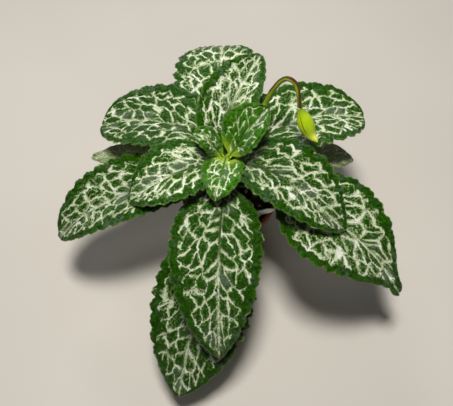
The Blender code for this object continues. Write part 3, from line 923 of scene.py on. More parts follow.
@dataclass
class LeafPiece:
    """One leaf: the blade as a closed ring-by-ring shell, its relief, its net and its hairs."""

    form: LeafForm
    blade_thick: float = 1.15
    edge_thick: float = 0.75
    rib_foot: float = 2.0  # how far the rib stands out below at the foot
    rib_half: float = 1.6
    vein_ridge: float = 0.22  # how far a large vein stands out below
    vein_depth: float = 0.70  # how deep it lies above
    small_vein_depth: float = 0.26
    puff: float = 0.25  # how far a cell bulges between the large veins
    groove: float = 0.95  # depth of the midrib above
    shoulder: float = 0.22  # height of the swelling beside it
    ruffle: float = 1.6  # how far the margin swings up and down
    petiole_half: float = 2.2
    foot_gap: float = 0.85
    sink: float = 1.6  # how far the foot reaches on into the crown
    tooth_share: float = 0.082  # of the blade's half width
    tooth_rise: float = 0.66  # share of a tooth that climbs
    small_teeth: float = 2.6  # for each tooth
    small_shift: float = 0.4
    handle: float = 0.36  # of the midrib's curve, as a share of its chord
    step: float = 0.62  # grid spacing
    slant: float = 0.9  # how far side veins run forward for each step outward
    hair_every: float = 0.22
    hair_length: tuple[float, float] = (0.45, 1.0)
    face_hairs: float = 0.35  # to a square millimetre of the upper face
    face_hair_length: float = 0.6  # as a share of the others'
    rim_width: float = 4.6  # of the plain margin on a leaf of the usual width
    usual_width: float = 54.0
    last: float = 0.997  # share of the midrib that the grid covers

    @property
    def scale(self) -> float:
        """How large the pattern is beside that of a leaf of the usual width."""
        return (self.form.width / self.usual_width) ** 0.5

    def midrib(self, s: np.ndarray) -> tuple[np.ndarray, np.ndarray]:
        """Points and directions along the midrib, a cubic curve from foot (0) to tip (1).

        Args:
            s: Shares of the way along.

        Returns:
            The points, and the directions made one long.
        """
        form = self.form
        angle = math.radians(form.heading)
        out = np.array([math.cos(angle), math.sin(angle), 0.0])
        start = out * (CROWN.radius_at(form.foot) + self.foot_gap) + CROWN.centre(form.foot)
        end = np.array(form.tip, float)
        chord = end - start
        reach = self.handle * np.linalg.norm(chord)
        ahead = unit(np.array([chord[0], chord[1], 0.0]))
        left = np.array([-ahead[1], ahead[0], 0.0]) * form.bow
        rise, fall = math.radians(form.rise), math.radians(form.fall)
        second = start + (out * math.cos(rise) + UP * math.sin(rise)) * reach + left
        third = end - (ahead * math.cos(fall) - UP * math.sin(fall)) * reach + left
        s = s[:, None]
        r = 1.0 - s
        points = start * r**3 + 3 * second * s * r**2 + 3 * third * s**2 * r + end * s**3
        slopes = (second - start) * r**2 + 2 * (third - second) * s * r + (end - third) * s**2
        return points, unit(slopes)

    def reach(self) -> float:
        """Length of the midrib."""
        return float(run_along(self.midrib(np.linspace(0.0, 1.0, 60))[0])[-1])

    def blade_share(self, s: np.ndarray) -> np.ndarray:
        """Shares of the way along the blade, which begins where the petiole ends."""
        return held((s - self.form.petiole) / (1 - self.form.petiole))

    def half_width(self, s: np.ndarray) -> np.ndarray:
        """Distance from midrib to margin without teeth: a leaf outline with the petiole added.

        Args:
            s: Stations along the leaf.

        Returns:
            One distance for each station.
        """
        form = self.form
        share = self.blade_share(s)
        low = form.taper * form.widest
        high = form.taper - low
        peak = form.widest**low * (1 - form.widest) ** high
        blade = form.width / 2 * share**low * (1 - share) ** high / peak
        stalk = self.petiole_half * form.rib**0.5 * np.sqrt(1 - s)
        blunt = np.sqrt(2 * form.blunt * self.reach() * (1 - s)) * held(s * 8 - 7)
        return np.cbrt(blade**3 + stalk**3 + blunt**3)

    def tooth_row(self, phase: np.ndarray) -> np.ndarray:
        """One row of rounded teeth that lean forward: a quarter sine up, a shorter cosine down.

        Args:
            phase: How many teeth lie behind each place.

        Returns:
            Heights from 0 to 1.
        """
        phase = phase % 1.0
        climb = np.sin(phase / self.tooth_rise * math.pi / 2)
        drop = np.cos((phase - self.tooth_rise) / (1 - self.tooth_rise) * math.pi / 2)
        return np.where(phase < self.tooth_rise, climb, drop)

    def tooth(self, s: np.ndarray, side: Side) -> np.ndarray:
        """Teeth of uneven size, each with smaller teeth on its back.

        Args:
            s: Stations along the leaf.
            side: The half of the blade.

        Returns:
            Heights, about 0 in the notches and 1 on an average tooth.
        """
        share = self.count(s, side)
        size = 0.35 + 0.95 * scatter(np.floor(share), share * 0, self.form.seed + 20 * side.value)
        small = self.tooth_row(share * self.small_teeth + self.small_shift) - 0.5
        return 0.5 + (self.tooth_row(share) - 0.5) * size + 0.30 * small

    def count(self, s: np.ndarray, side: Side) -> np.ndarray:
        """How many teeth of one margin lie behind each station; their spacing wanders."""
        share = self.blade_share(s) * self.form.teeth
        wander = noise(share, share * 0 + 3, 1.9, self.form.seed + 20 * side.value) - 0.5
        return share + 0.9 * wander

    def by_side(self, v: np.ndarray, value: Callable[[Side], np.ndarray]) -> np.ndarray:
        """The value for the right half where v is below 0, and for the left half elsewhere."""
        return np.where(v[None] < 0, value(Side.RIGHT), value(Side.LEFT))

    def tooth_at(self, s: np.ndarray, v: np.ndarray) -> np.ndarray:
        """Height of the margin's teeth for each station and place across."""
        return self.by_side(v, lambda side: self.tooth(s, side)[:, None])

    def crease(self, s: np.ndarray, v: np.ndarray, rim: np.ndarray) -> np.ndarray:
        """Creases that run in from the notches between teeth, back along the side veins.

        Args:
            s: Stations along the leaf.
            v: Places across.
            rim: Distances in from the margin.

        Returns:
            1 in the middle of a crease, 0 away from them.
        """
        form, length = self.form, self.reach()
        hit = s[:, None] + self.slant * rim / length
        share = self.by_side(v, lambda side: self.count(hit, side))
        spacing = length * (1 - form.petiole) / form.teeth
        depth = np.zeros_like(rim)
        for pace, shift, strength in ((1.0, 0.0, 1.0), (self.small_teeth, self.small_shift, 0.45)):
            phase = (share * pace + shift) % 1.0
            away = np.minimum(phase, 1 - phase) * spacing / pace
            depth = np.maximum(depth, strength * hump(away, 0.55))
        depth = depth * (0.5 + 0.5 * noise(share, share * 0, 1.0, form.seed + 11))
        return depth * hump(rim - 1.4, 2.2) * held(s * 6 - 0.6)[:, None]

    def skewed(self, v: np.ndarray) -> np.ndarray:
        """How many times as wide as the outline says the half is that a place lies in."""
        return 1 + self.form.skew * np.sign(v)[None]

    def toothed_width(self, s: np.ndarray, v: np.ndarray) -> np.ndarray:
        """Distance from midrib to margin with its teeth.

        Args:
            s: Stations along the leaf.
            v: Places across.

        Returns:
            One distance for each station and place.
        """
        share = self.blade_share(s)
        begin = (held(share * 8) * held((1 - share) * 12))[:, None]
        tooth = self.tooth_at(s, v)
        plain = self.half_width(s)[:, None] * self.skewed(v)
        return plain * (1 + begin * self.tooth_share * (tooth - 0.55)) + begin * 0.4 * (tooth - 0.5)

    def surface(self, s: np.ndarray, v: np.ndarray) -> np.ndarray:
        """The smooth upper face; a section across each half is one circular arc.

        Args:
            s: Stations along the leaf.
            v: Places across, -1 (right) to 1 (left), one row for all stations.

        Returns:
            Points, one row of them for each station.
        """
        form = self.form
        points, along = self.midrib(s)
        side = unit(np.cross(UP, along))
        up = np.cross(along, side)
        cos, sin = math.cos(math.radians(form.roll)), math.sin(math.radians(form.roll))
        side, up = side * cos + up * sin, up * cos - side * sin
        width = self.toothed_width(s, v)
        fold, curl = math.radians(form.fold), math.radians(form.curl)
        turned_to = fold + curl * np.abs(v)[None]
        across = np.sign(v) * (np.sin(turned_to) - math.sin(fold)) / curl * width
        lift = (math.cos(fold) - np.cos(turned_to)) / curl * width
        reach = np.abs(v)[None] * self.half_width(s)[:, None] / (form.width / 2)
        back = form.lobe * np.clip(reach - 0.15, 0.0, None) ** 1.2 * np.exp(-s[:, None] / 0.25)
        return (
            points[:, None]
            + side[:, None] * across[..., None]
            + up[:, None] * lift[..., None]
            - along[:, None] * back[..., None]
        )

    def places(self) -> tuple[np.ndarray, np.ndarray]:
        """Stations evenly spaced along the midrib, and places across that crowd at the midrib.

        Returns:
            The stations and the places across.
        """
        fine = np.linspace(0.0, 1.0, 400)
        run = run_along(self.midrib(fine)[0])
        rows = int(run[-1] / self.step)
        s = np.interp(np.linspace(0.0, run[-1] * self.last, rows), run, fine)
        half = int(self.form.width / 2 / self.step / 2) * 2
        t = np.linspace(-1.0, 1.0, 2 * half + 1)
        return s, np.sign(t) * np.abs(t) ** 1.12

    def grid(self, s: np.ndarray, v: np.ndarray, smooth: np.ndarray) -> LeafGrid:
        """The distances on the smooth face.

        Args:
            s: Stations along the leaf.
            v: Places across.
            smooth: Points of the smooth face.

        Returns:
            The grid.
        """
        run = run_along(smooth[:, len(v) // 2])
        along = np.broadcast_to(run[:, None], smooth.shape[:2])
        width = self.toothed_width(s, v)
        plain = self.half_width(s)[:, None] * v[None] * self.skewed(v)
        rim = width * (1 - np.abs(v))[None] * 0.9
        return LeafGrid(s, v, along, plain, width * v[None], width, rim, self.flow(along, plain, s))

    def build(self) -> bpy.types.Object:
        """The leaf without its skin.

        The upper face is the smooth face raised along its normals by the relief. The lower
        face lies a blade's thickness under it, with the rib and the veins standing out.

        Returns:
            The piece.
        """
        s, v = self.places()
        smooth = self.surface(s, v)
        normal = unit(np.cross(np.gradient(smooth, axis=0), np.gradient(smooth, axis=1)))
        level = 1 - held(s / 0.08)[:, None, None]
        normal = unit(UP * level + normal * (1 - level))
        grid = self.grid(s, v, smooth)
        veins = (COARSE.borders(*grid.flow), MEDIUM.borders(*grid.flow))
        upper = smooth + normal * self.relief(grid, veins)[..., None]
        lower = (smooth - normal * self.thickness(grid, veins[0])[..., None])[:, ::-2]
        side = unit(smooth[:, -1] - smooth[:, 0])
        lip = 0.28 * np.clip(grid.width[:, :1] / 2, 0.2, 1.0)
        left = (upper[:, -1] + lower[:, 0]) / 2 + side * lip
        right = (upper[:, 0] + lower[:, -1]) / 2 - side * lip
        rings = np.concatenate([upper, left[:, None], lower, right[:, None]], 1)
        sunk = unit(CROWN.centre(self.form.foot) - rings[0].mean(0)) * self.sink
        rings = np.concatenate([(rings[0] + sunk)[None], rings])
        below = normal[-1, len(v) // 2] * self.edge_thick * 0.5
        tip = self.midrib(np.array([1.0]))[0][0] - below
        shell, faces = tube(rings, np.stack([rings[0].mean(0), tip]))
        points, faces = self.hairs(s, upper, normal, side).join(shell, faces)
        marks = self.marks(grid, len(points) - len(shell))
        piece = mesh_object(f"{self.form.name}_blade", points, faces, marks)
        log.info("%s: %d points", piece.name, len(points))
        return piece

    def thickness(self, grid: LeafGrid, vein: np.ndarray) -> np.ndarray:
        """How far the lower face lies under the smooth face.

        Args:
            grid: The leaf's grid.
            vein: Distances to the large veins.

        Returns:
            One thickness for each point of the grid.
        """
        rib = self.form.rib * self.rib_foot * (1 - 0.85 * grid.s[:, None])
        blade = self.edge_thick + (self.blade_thick - self.edge_thick) * (1 - grid.v**2)[None]
        ridge = self.vein_ridge * hump(vein, 0.8) * held(grid.rim / 3)
        return blade + rib * hump(grid.x, self.rib_half) + ridge

    def flow(
        self, along: np.ndarray, plain: np.ndarray, s: np.ndarray
    ) -> tuple[np.ndarray, np.ndarray]:
        """Coordinates that follow the veins: the first is the same all along a side vein, which
        runs forward as it runs out, and the second all along an arc that runs with the margin.

        Args:
            along: Distance along the midrib.
            plain: Distance across from it, left positive.
            s: Stations along the leaf.

        Returns:
            Both coordinates.
        """
        form, scale = self.form, self.scale
        out = np.abs(plain)
        half = np.maximum(self.half_width(s)[:, None], 0.42 * form.width / 2)
        arc = 0.5 * plain + 0.5 * plain / half * form.width / 2
        sway_a = (rough_noise(along, plain + 200, 9 * scale, form.seed) - 0.5) * 7.0
        sway_b = (rough_noise(along, plain + 200, 8 * scale, form.seed + 40) - 0.5) * 5.0
        first = (along - self.slant * out + 0.012 * out**2) / scale + sway_a + form.seed * 53.0
        return first, arc / scale + sway_b * held(out / 4)

    def relief(self, grid: LeafGrid, veins: tuple[np.ndarray, np.ndarray]) -> np.ndarray:
        """Height over the smooth face: sunken veins between puffed cells, a midrib groove, and a
        margin that dips at each tooth.

        Args:
            grid: The leaf's grid.
            veins: Distances to the large and the small veins.

        Returns:
            Heights.
        """
        s, v, x, rim = grid.s, grid.v, grid.x, grid.rim
        large = -self.vein_depth * np.exp(-veins[0] / 0.9) + self.puff * held(veins[0] / 3)
        small = -self.small_vein_depth * np.exp(-veins[1] / 0.6)
        groove = -self.groove * (1 - 0.6 * s[:, None]) * hump(x, 0.9)
        shoulder = self.shoulder * hump(np.abs(x) - 2.0, 1.0)
        tooth = self.tooth_at(s, v) - 0.5
        puff = hump(rim - 2.6, 1.9) * (0.8 * tooth + 0.3) - 0.7 * self.crease(s, v, rim)
        ruffle = noise(s[:, None] * 14, np.sign(v)[None] * 9 + 30, 1.0, self.form.seed) - 0.5
        wave = (self.ruffle * ruffle - 0.7 * tooth) * np.abs(v)[None] ** 4
        height = (large + small) * held(rim / 2) + groove + shoulder + puff + wave
        return height * held((s - 0.04) / 0.1)[:, None]

    def marks(self, grid: LeafGrid, hair_points: int) -> dict[str, np.ndarray]:
        """The numbers that the skin reads.

        The lift is how much half a line of the net gains in width. It falls off steeply towards
        the margin, so the margin stays green.

        Args:
            grid: The leaf's grid.
            hair_points: How many points the hairs have.

        Returns:
            Three numbers for each point, by the name of the attribute.
        """
        form, along, plain, rim = self.form, grid.along, grid.plain, grid.rim
        s = grid.s[:, None]
        patch = rough_noise(along + 90, plain + 200, 17, form.seed + 60)
        stop = self.rim_width * (0.45 if form.vigour is Vigour.SHADED else 1.0) * self.scale
        stop = stop * (1 - 0.45 * held((s - 0.7) / 0.3))
        stop = stop * (0.80 + 0.5 * noise(along, plain + 200, 5.0, form.seed + 80))
        blotch = form.blotch * held(patch * 2.6 - 1.25)
        lift = (form.pale - 1.0) * 0.3 + 0.30 * blotch - np.clip((stop - rim) / 0.9, 0.0, 6.0)
        inner = 0.25 + 0.85 * hump(s, 0.42)
        small = -0.74 + 0.72 * held(patch * 2.2 - 0.75) * min(form.pale, 1.2) * inner
        spot, zero = np.zeros_like(plain), np.zeros_like(plain)
        for share, across, radius in form.spots:
            row = int(np.abs(grid.s - share).argmin())
            edge = across * np.abs(plain[row]).max()
            away = np.hypot(along - along[row, 0], plain - edge)
            spot = np.maximum(spot, held(1.3 - away / radius))
        # painted shade: the whole leaf darkened where less light falls on it, and the creases by the
        # teeth darkened more
        dark = 0.35 * form.painted_shade + 0.6 * self.crease(grid.s, grid.v, rim)
        fields = {
            "lift_rim_rib": (lift, rim, np.abs(grid.x)),
            "share_under_hair": (s + zero, zero, zero),
            "spot_small_shade": (spot, small, dark),
            "flow": (*grid.flow, zero),
        }
        marks = {}
        for name, values in fields.items():
            upper = np.stack(values, -1)
            lower = upper[:, ::-2].copy()
            if name == "share_under_hair":
                lower[..., 1] = 1.0
            rings = np.concatenate([upper, upper[:, -1:], lower, upper[:, :1]], 1)
            rings = np.concatenate([rings[:1], rings])
            ends = np.stack([rings[0].mean(0), rings[-1].mean(0)])
            marks[name] = np.concatenate([rings.reshape(-1, 3), ends, np.zeros((hair_points, 3))])
        marks["share_under_hair"][-hair_points:, 2] = 0.9
        return marks

    def hairs(
        self, s: np.ndarray, upper: np.ndarray, normal: np.ndarray, side: np.ndarray
    ) -> Hairs:
        """Hairs along both margins, pointing outward and a little forward, and a few on the face.

        Args:
            s: Stations along the leaf; not used.
            upper: Points of the upper face.
            normal: Its normals.
            side: Direction to the left at each station.

        Returns:
            The hairs.
        """
        rng = np.random.default_rng(int(self.form.seed))
        parts = []
        for column, half in ((0, Side.RIGHT), (-1, Side.LEFT)):
            margin = upper[:, column]
            run = run_along(margin)
            count = int(run[-1] / self.hair_every)
            at = np.sort(rng.uniform(run[-1] * 0.03, run[-1], count))
            row = np.clip(np.searchsorted(run, at), 0, len(run) - 1)
            ahead = unit(np.gradient(margin, axis=0))[row]
            outward, over = side[row] * half.value, normal[row, column]
            out = outward + ahead * rng.uniform(0.0, 0.6, (count, 1))
            out = out + over * rng.uniform(-0.7, 0.5, (count, 1))
            roots = points_at(margin, at) - over * self.edge_thick * 0.35 + outward * 0.1
            parts.append((roots, out))
        rows, columns = upper.shape[:2]
        count = int(rows * columns * self.step**2 * self.face_hairs)
        i, j = rng.integers(2, rows - 2, count), rng.integers(2, columns - 2, count)
        parts.append((upper[i, j], normal[i, j] + rng.normal(0.0, 0.35, (count, 3))))
        roots, directions = (np.concatenate(some) for some in zip(*parts))
        lengths = rng.uniform(*self.hair_length, len(roots))
        lengths[-count:] *= self.face_hair_length
        return Hairs(roots, directions, lengths, 0.03)


@dataclass
class Foliage:
    """All the leaves, with one skin for each vigour."""

    forms: tuple[LeafForm, ...] = FORMS

    def build(self) -> list[bpy.types.Object]:
        """Builds each leaf and gives it its skin.

        Returns:
            The pieces.
        """
        skins = {skin.vigour: LeafPaint(skin).finish() for skin in SKINS}
        pieces = []
        for form in self.forms:
            pieces.append(dress(LeafPiece(form).build(), skins[form.vigour], form.name))
        return pieces


@dataclass
class FlowerStem:
    """The bent stalk, yellow-green on its inner side and purple-brown on its outer side."""

    path: tuple[Place, ...] = (
        (3.4, 8.6, 76.0),
        (8.2, 14.4, 83.5),
        (15.2, 22.0, 93.5),
        (21.2, 29.4, 106.0),
        (26.5, 32.8, 118.5),
        (32.5, 33.0, 126.0),
        (38.0, 28.6, 125.6),
        (40.2, 22.8, 119.0),
        (40.9, 20.8, 115.2),
    )
    sink: float = 3.0  # how far its foot reaches on into the crown
    foot_radius: float = 1.9
    tip_radius: float = 1.35
    rows: int = 170
    around: int = 24
    bend_over: int = 21  # points of the path that its bend is taken over
    hair_count: int = 900

    def build(self) -> bpy.types.Object:
        """The stalk: rings along a smooth path, with faint ridges, a swollen end and hairs.

        Returns:
            The piece.
        """
        path = smooth_path(self.path, self.rows)
        path = np.concatenate([[path[0] - unit(path[1] - path[0]) * self.sink], path])
        share = np.linspace(0.0, 1.0, len(path))[:, None]
        angle = -turns(self.around)[None]
        radius = self.foot_radius + (self.tip_radius - self.foot_radius) * share
        radius = radius * (1 + 0.035 * np.cos(angle * 5) + 0.04 * np.sin(share * 60 + angle))
        radius = radius * (1 + 0.12 * hump(1 - share, 0.03))
        out = spokes(path, angle)
        rings = path[:, None] + out * radius[..., None]
        bend = np.gradient(unit(np.gradient(path, axis=0)), axis=0)
        even = np.ones(self.bend_over) / self.bend_over
        bend = np.stack([np.convolve(bend[:, axis], even, "same") for axis in range(3)], -1)
        outer = -(out * unit(bend)[:, None]).sum(-1)
        rng = np.random.default_rng(71)
        i = rng.integers(6, len(path) - 3, self.hair_count)
        j = rng.integers(0, self.around, self.hair_count)
        strays = rng.normal(0.0, 0.3, (self.hair_count, 3))
        lengths = rng.uniform(0.35, 0.85, self.hair_count)
        hairs = Hairs(rings[i, j], out[i, j] + strays, lengths)
        bare = np.stack([outer, share + 0 * outer, 0 * outer], -1).reshape(-1, 3)
        hairy = np.stack([outer[i, j], 0 * lengths, 0 * lengths + 1], -1)
        mark = np.concatenate([bare, np.zeros((2, 3)), np.repeat(hairy, HAIR_POINTS, 0)])
        points, faces = hairs.join(*tube(rings, path[[0, -1]]))
        piece = mesh_object("flower_stalk", points, faces, {"outer_share_hair": mark})
        return dress(piece, self.skin(), "flower_stem")

    def skin(self) -> bpy.types.Material:
        """Yellow-green that turns purple-brown on the outer side, more so towards the bud.

        Returns:
            The material.
        """
        kit = NodeTree("stalk_skin")
        outer, share, hair = kit.marks("outer_share_hair")
        at = kit.place()
        cloud = kit.grain(at, 700.0, 3.0)
        green = kit.turn(cloud, 0.35, 0.65, (0.17, 0.26, 0.006), (0.27, 0.36, 0.010))
        brown = kit.turn(cloud, 0.35, 0.65, (0.045, 0.016, 0.008), (0.10, 0.04, 0.012))
        apex = kit.times(kit.ease(share, 0.45, 0.62), kit.ease(share, 1.0, 0.78))
        reach = kit.math("MULTIPLY_ADD", apex, 0.45, outer)
        reach = kit.plus(reach, kit.span(cloud, -0.35, 0.35))
        colour = kit.turn(reach, 0.50, 1.05, green, brown)
        hair_colour = kit.turn(outer, -0.2, 0.5, (0.42, 0.45, 0.20), (0.10, 0.05, 0.03))
        return kit.surface(
            Base_Color=kit.blend(hair, colour, hair_colour),
            Roughness=0.45,
            Normal=kit.grit(at, 2500.0, 2.0, 0.0002),
        )


@dataclass
class FlowerBud:
    """The closed bud with its seams and its curved beak."""

    path: tuple[Place, ...] = (
        (41.1, 20.2, 114.0),
        (43.4, 16.2, 110.2),
        (45.8, 12.2, 106.8),
        (48.4, 8.8, 103.6),
        (52.2, 5.4, 101.6),
    )
    radius: float = 4.7
    foot_radius: float = 1.45
    tip_radius: float = 0.40
    depth: float = 0.86  # as a share of the width
    keel: float = 0.06
    rows: int = 110
    around: int = 72
    hair_count: int = 500
    seams: tuple[Place, ...] = (  # place round, drift on the way along, width; shares of a turn
        (0.62, 0.05, 0.018),
        (0.12, -0.04, 0.014),
        (0.88, 0.03, 0.010),
    )

    def build(self) -> bpy.types.Object:
        """The bud: rings along its bent axis, swelling as a skewed sine, with keels and seams.

        Returns:
            The piece.
        """
        path = smooth_path(self.path, self.rows)
        share = np.linspace(0.0, 1.0, self.rows)[:, None]
        angle = -turns(self.around)[None]
        swell = np.sin(math.pi * share**0.87) ** 1.05
        radius = self.foot_radius * (1 - share) + self.tip_radius * share
        radius = radius + (self.radius - 0.9) * swell
        keel = 1 + self.keel * np.cos(angle * 2) ** 8
        fine = 1 + 0.012 * np.sin(angle * 15 + 3 * share)
        seam = self.seam(angle, share)
        radius = radius * keel * fine * (1 - 0.09 * seam)
        out = spokes(path, angle, self.depth)
        rings = path[:, None] + out * radius[..., None]
        rng = np.random.default_rng(72)
        i = rng.integers(3, self.rows - 8, self.hair_count)
        j = rng.integers(0, self.around, self.hair_count)
        strays = rng.normal(0, 0.3, (self.hair_count, 3))
        lengths = rng.uniform(0.2, 0.5, self.hair_count)
        hairs = Hairs(rings[i, j], unit(out)[i, j] + strays, lengths, 0.025)
        turn = angle / (2 * math.pi)
        mark = np.stack([share + 0 * seam, turn + 0 * seam, seam], -1)
        ends = [[0, 0, 0], [1, 0, 0]]
        tufts = np.repeat(mark[i, j], HAIR_POINTS, 0)
        mark = np.concatenate([mark.reshape(-1, 3), ends, tufts])
        points, faces = hairs.join(*tube(rings, path[[0, -1]]))
        piece = mesh_object("flower_bud_body", points, faces, {"share_turn_seam": mark})
        return dress(piece, self.skin(), "flower_bud")

    def seam(self, angle: np.ndarray, share: np.ndarray) -> np.ndarray:
        """The lines where the folded petals meet.

        Args:
            angle: Angles round the bud, below zero.
            share: Shares of the way along it.

        Returns:
            1 on a line, falling away to each side of it and towards the bud's ends.
        """
        total = np.zeros(np.broadcast_shapes(angle.shape, share.shape))
        strength = np.exp(-(((share - 0.38) / 0.28) ** 4))
        for place, drift, width in self.seams:
            away = (angle / (-2 * math.pi) - place - drift * share + 0.5) % 1.0 - 0.5
            total = np.maximum(total, hump(away, width) * strength)
        return total

    def skin(self) -> bpy.types.Material:
        """Yellow-green with fine lengthwise lines, brown seams, a bright beak and an orange tip.

        Returns:
            The material.
        """
        kit = NodeTree("bud_skin")
        share, turn, seam = kit.marks("share_turn_seam")
        at = kit.place()
        lines = kit.math("SINE", kit.times(turn, 150.0))
        lines = kit.plus(lines, kit.span(kit.grain(at, 260.0), -2.0, 2.0))
        body = kit.turn(lines, -0.8, 1.4, (0.40, 0.55, 0.010), (0.26, 0.40, 0.008))
        body = kit.turn(share, 0.25, 0.0, body, (0.20, 0.30, 0.012))
        body = kit.turn(share, 0.58, 0.90, body, (0.92, 0.96, 0.12))
        ragged = kit.times(seam, kit.span(kit.grain(at, 900.0), 0.5, 1.3))
        colour = kit.turn(ragged, 0.25, 0.7, body, (0.16, 0.075, 0.008))
        colour = kit.turn(share, 0.975, 0.995, colour, (0.55, 0.22, 0.01))
        height = kit.plus(kit.times(lines, 0.3), kit.grain(at, 1800.0))
        return kit.surface(
            Base_Color=colour,
            Roughness=0.40,
            Normal=kit.bump(height, 0.00018),
            Subsurface_Weight=0.15,
            Subsurface_Radius=(0.003, 0.003, 0.0005),
            Subsurface_Scale=0.6,
        )


@dataclass
class Pot:
    """The moulded plastic pot: a turned wall with a rim band, and a floor with drain holes."""

    height: float = 52.0
    rim_radius: float = 32.0
    mouth_radius: float = 29.6
    neck_radius: float = 30.4
    base_radius: float = 22.0
    wall: float = 1.5
    floor: float = 2.0
    rim_drop: float = 8.0
    holes: int = 6
    hole_radius: float = 2.6
    hole_edge: float = 0.5  # width of the even strip round a hole
    hole_circle: float = 14.0
    hub: float = 7.0
    around: int = 192
    spoke_points: int = 6
    crisp: float = 40.0  # degrees; an edge sharper than this isn't smoothed over

    def outline(self) -> np.ndarray:
        """The wall's radii and heights, from corner to corner.

        Returns:
            The corners, from under the base, up the outside, over the rim and down the inside.
        """
        base, neck, rim, mouth = self.base_radius, self.neck_radius, self.rim_radius, self.mouth_radius
        top, band, floor = self.height, self.height - self.rim_drop, self.floor
        inner = base - self.wall
        return np.array([
            (base - 1.4, 0.0), (base - 0.8, 0.0), (base - 0.2, 0.2), (base, 0.8),
            (base + 0.15, 3.0), (base + 0.9, 6.0),
            (neck - 0.9, band - 4.0), (neck - 0.25, band - 0.4), (neck - 0.1, band),
            (rim - 0.9, band + 0.05), (rim - 0.5, band + 0.3), (rim - 0.4, band + 0.8),
            (rim - 0.05, top - 1.6), (rim, top - 1.0), (rim - 0.12, top - 0.5),
            (rim - 0.4, top - 0.2), (rim - 0.8, top - 0.04), (rim - 1.3, top),
            (mouth + 0.6, top - 0.1), (mouth + 0.15, top - 0.4), (mouth, top - 0.9),
            (neck - self.wall - 0.2, band - 0.5),
            (inner, floor + 0.6), (inner - 0.3, floor + 0.15), (inner - 0.8, floor),
        ])

    def build(self) -> bpy.types.Object:
        """The wall is the outline turned about Z. Each face of the floor is sectors, one round
        each hole, and an even hub.

        Returns:
            The piece.
        """
        outline = self.outline()
        wall = turned(outline, self.around)
        index = np.arange(wall.shape[0] * self.around).reshape(-1, self.around)
        points, faces, holes = [wall.reshape(-1, 3)], [strip(index[1:], index[:-1])], []
        for level, row in ((0.0, 0), (self.floor, -1)):
            first = sum(len(part) for part in points)
            more, parts, rims = self.floor_face(level, index[row], outline[row, 0], first)
            points.append(more)
            faces += parts
            holes.append(rims)
        faces += [strip(below, above) for below, above in zip(*holes)]
        piece = mesh_object("pot_body", np.concatenate(points), faces)
        piece.data.set_sharp_from_angle(angle=math.radians(self.crisp))
        return dress(piece, self.plastic(), "pot")

    def floor_face(
        self, level: float, edge: np.ndarray, edge_radius: float, first: int
    ) -> tuple[np.ndarray, list[np.ndarray], list[np.ndarray]]:
        """One face of the floor, from the wall's last ring inward.

        Each sector is a ring of faces from the hole's circle to the sector's border, which
        runs along the outer ring, down a spoke, along the hub's ring and up a spoke.

        Args:
            level: Height of the face, which looks down at 0 and up above it.
            edge: Point numbers of the wall's ring that the face meets.
            edge_radius: That ring's radius.
            first: Number of the first new point.

        Returns:
            The new points, the faces, and each hole's ring of point numbers.
        """
        sector, spoke = self.around // self.holes, self.spoke_points
        ring = circle(turns(self.around))
        hub = self.hub * ring
        radii = np.linspace(edge_radius, self.hub, spoke + 2)[1:-1]
        starts = np.arange(self.holes) * sector
        arms = radii[None, :, None] * ring[starts][:, None]
        hub_index = first + np.arange(self.around)
        arm_index = first + self.around + np.arange(self.holes * spoke).reshape(-1, spoke)
        centre = first + self.around + self.holes * spoke
        points, faces, rims = [hub, arms.reshape(-1, 2), np.zeros((1, 2))], [], []
        for n, start in enumerate(starts):
            turn = np.arange(start, start + sector + 1) % self.around
            after = (n + 1) % self.holes
            border = [edge[turn], arm_index[after], hub_index[turn][::-1], arm_index[n][::-1]]
            border = np.concatenate(border)
            place = [edge_radius * ring[turn], arms[after], hub[turn][::-1], arms[n][::-1]]
            middle = self.hole_circle * circle((n + 0.5) * 2 * math.pi / self.holes)
            outward = unit(np.concatenate(place) - middle)
            rim = centre + 1 + n * 2 * len(border) + np.arange(len(border))
            points += [middle + outward * (self.hole_radius + more) for more in (0, self.hole_edge)]
            faces += [strip(rim, rim + len(border)), strip(rim + len(border), border)]
            rims.append(rim)
        faces.append(np.stack([np.full_like(hub_index, centre), hub_index, np.roll(hub_index, -1)], -1))
        if level == 0.0:
            faces = [part[:, ::-1] for part in faces]
        flat = np.concatenate(points)
        return np.concatenate([flat, np.full((len(flat), 1), level)], -1), faces, rims

    def plastic(self) -> bpy.types.Material:
        """Brown-red moulded plastic, dusty and scuffed, darker in patches near its foot.

        Returns:
            The material.
        """
        kit = NodeTree("pot_plastic")
        at = kit.place()
        cloud = kit.grain(at, 90.0, 4.0)
        body = kit.turn(cloud, 0.35, 0.65, (0.145, 0.030, 0.006), (0.23, 0.052, 0.011))
        dust = kit.ease(kit.grain(at, 320.0, 5.0), 0.56, 0.72)
        body = kit.blend(kit.times(dust, 0.5), body, (0.30, 0.17, 0.11))
        low = kit.times(kit.ease(kit.height(at), 0.016, 0.0), kit.ease(cloud, 0.35, 0.6))
        body = kit.blend(kit.times(low, 0.6), body, (0.06, 0.035, 0.022))
        rough = kit.span(kit.grain(at, 500.0, 4.0), 0.34, 0.58)
        return kit.surface(
            Base_Color=body,
            Roughness=kit.plus(rough, kit.times(dust, 0.15)),
            Normal=kit.grit(at, 2200.0, 3.0, 0.00006),
        )


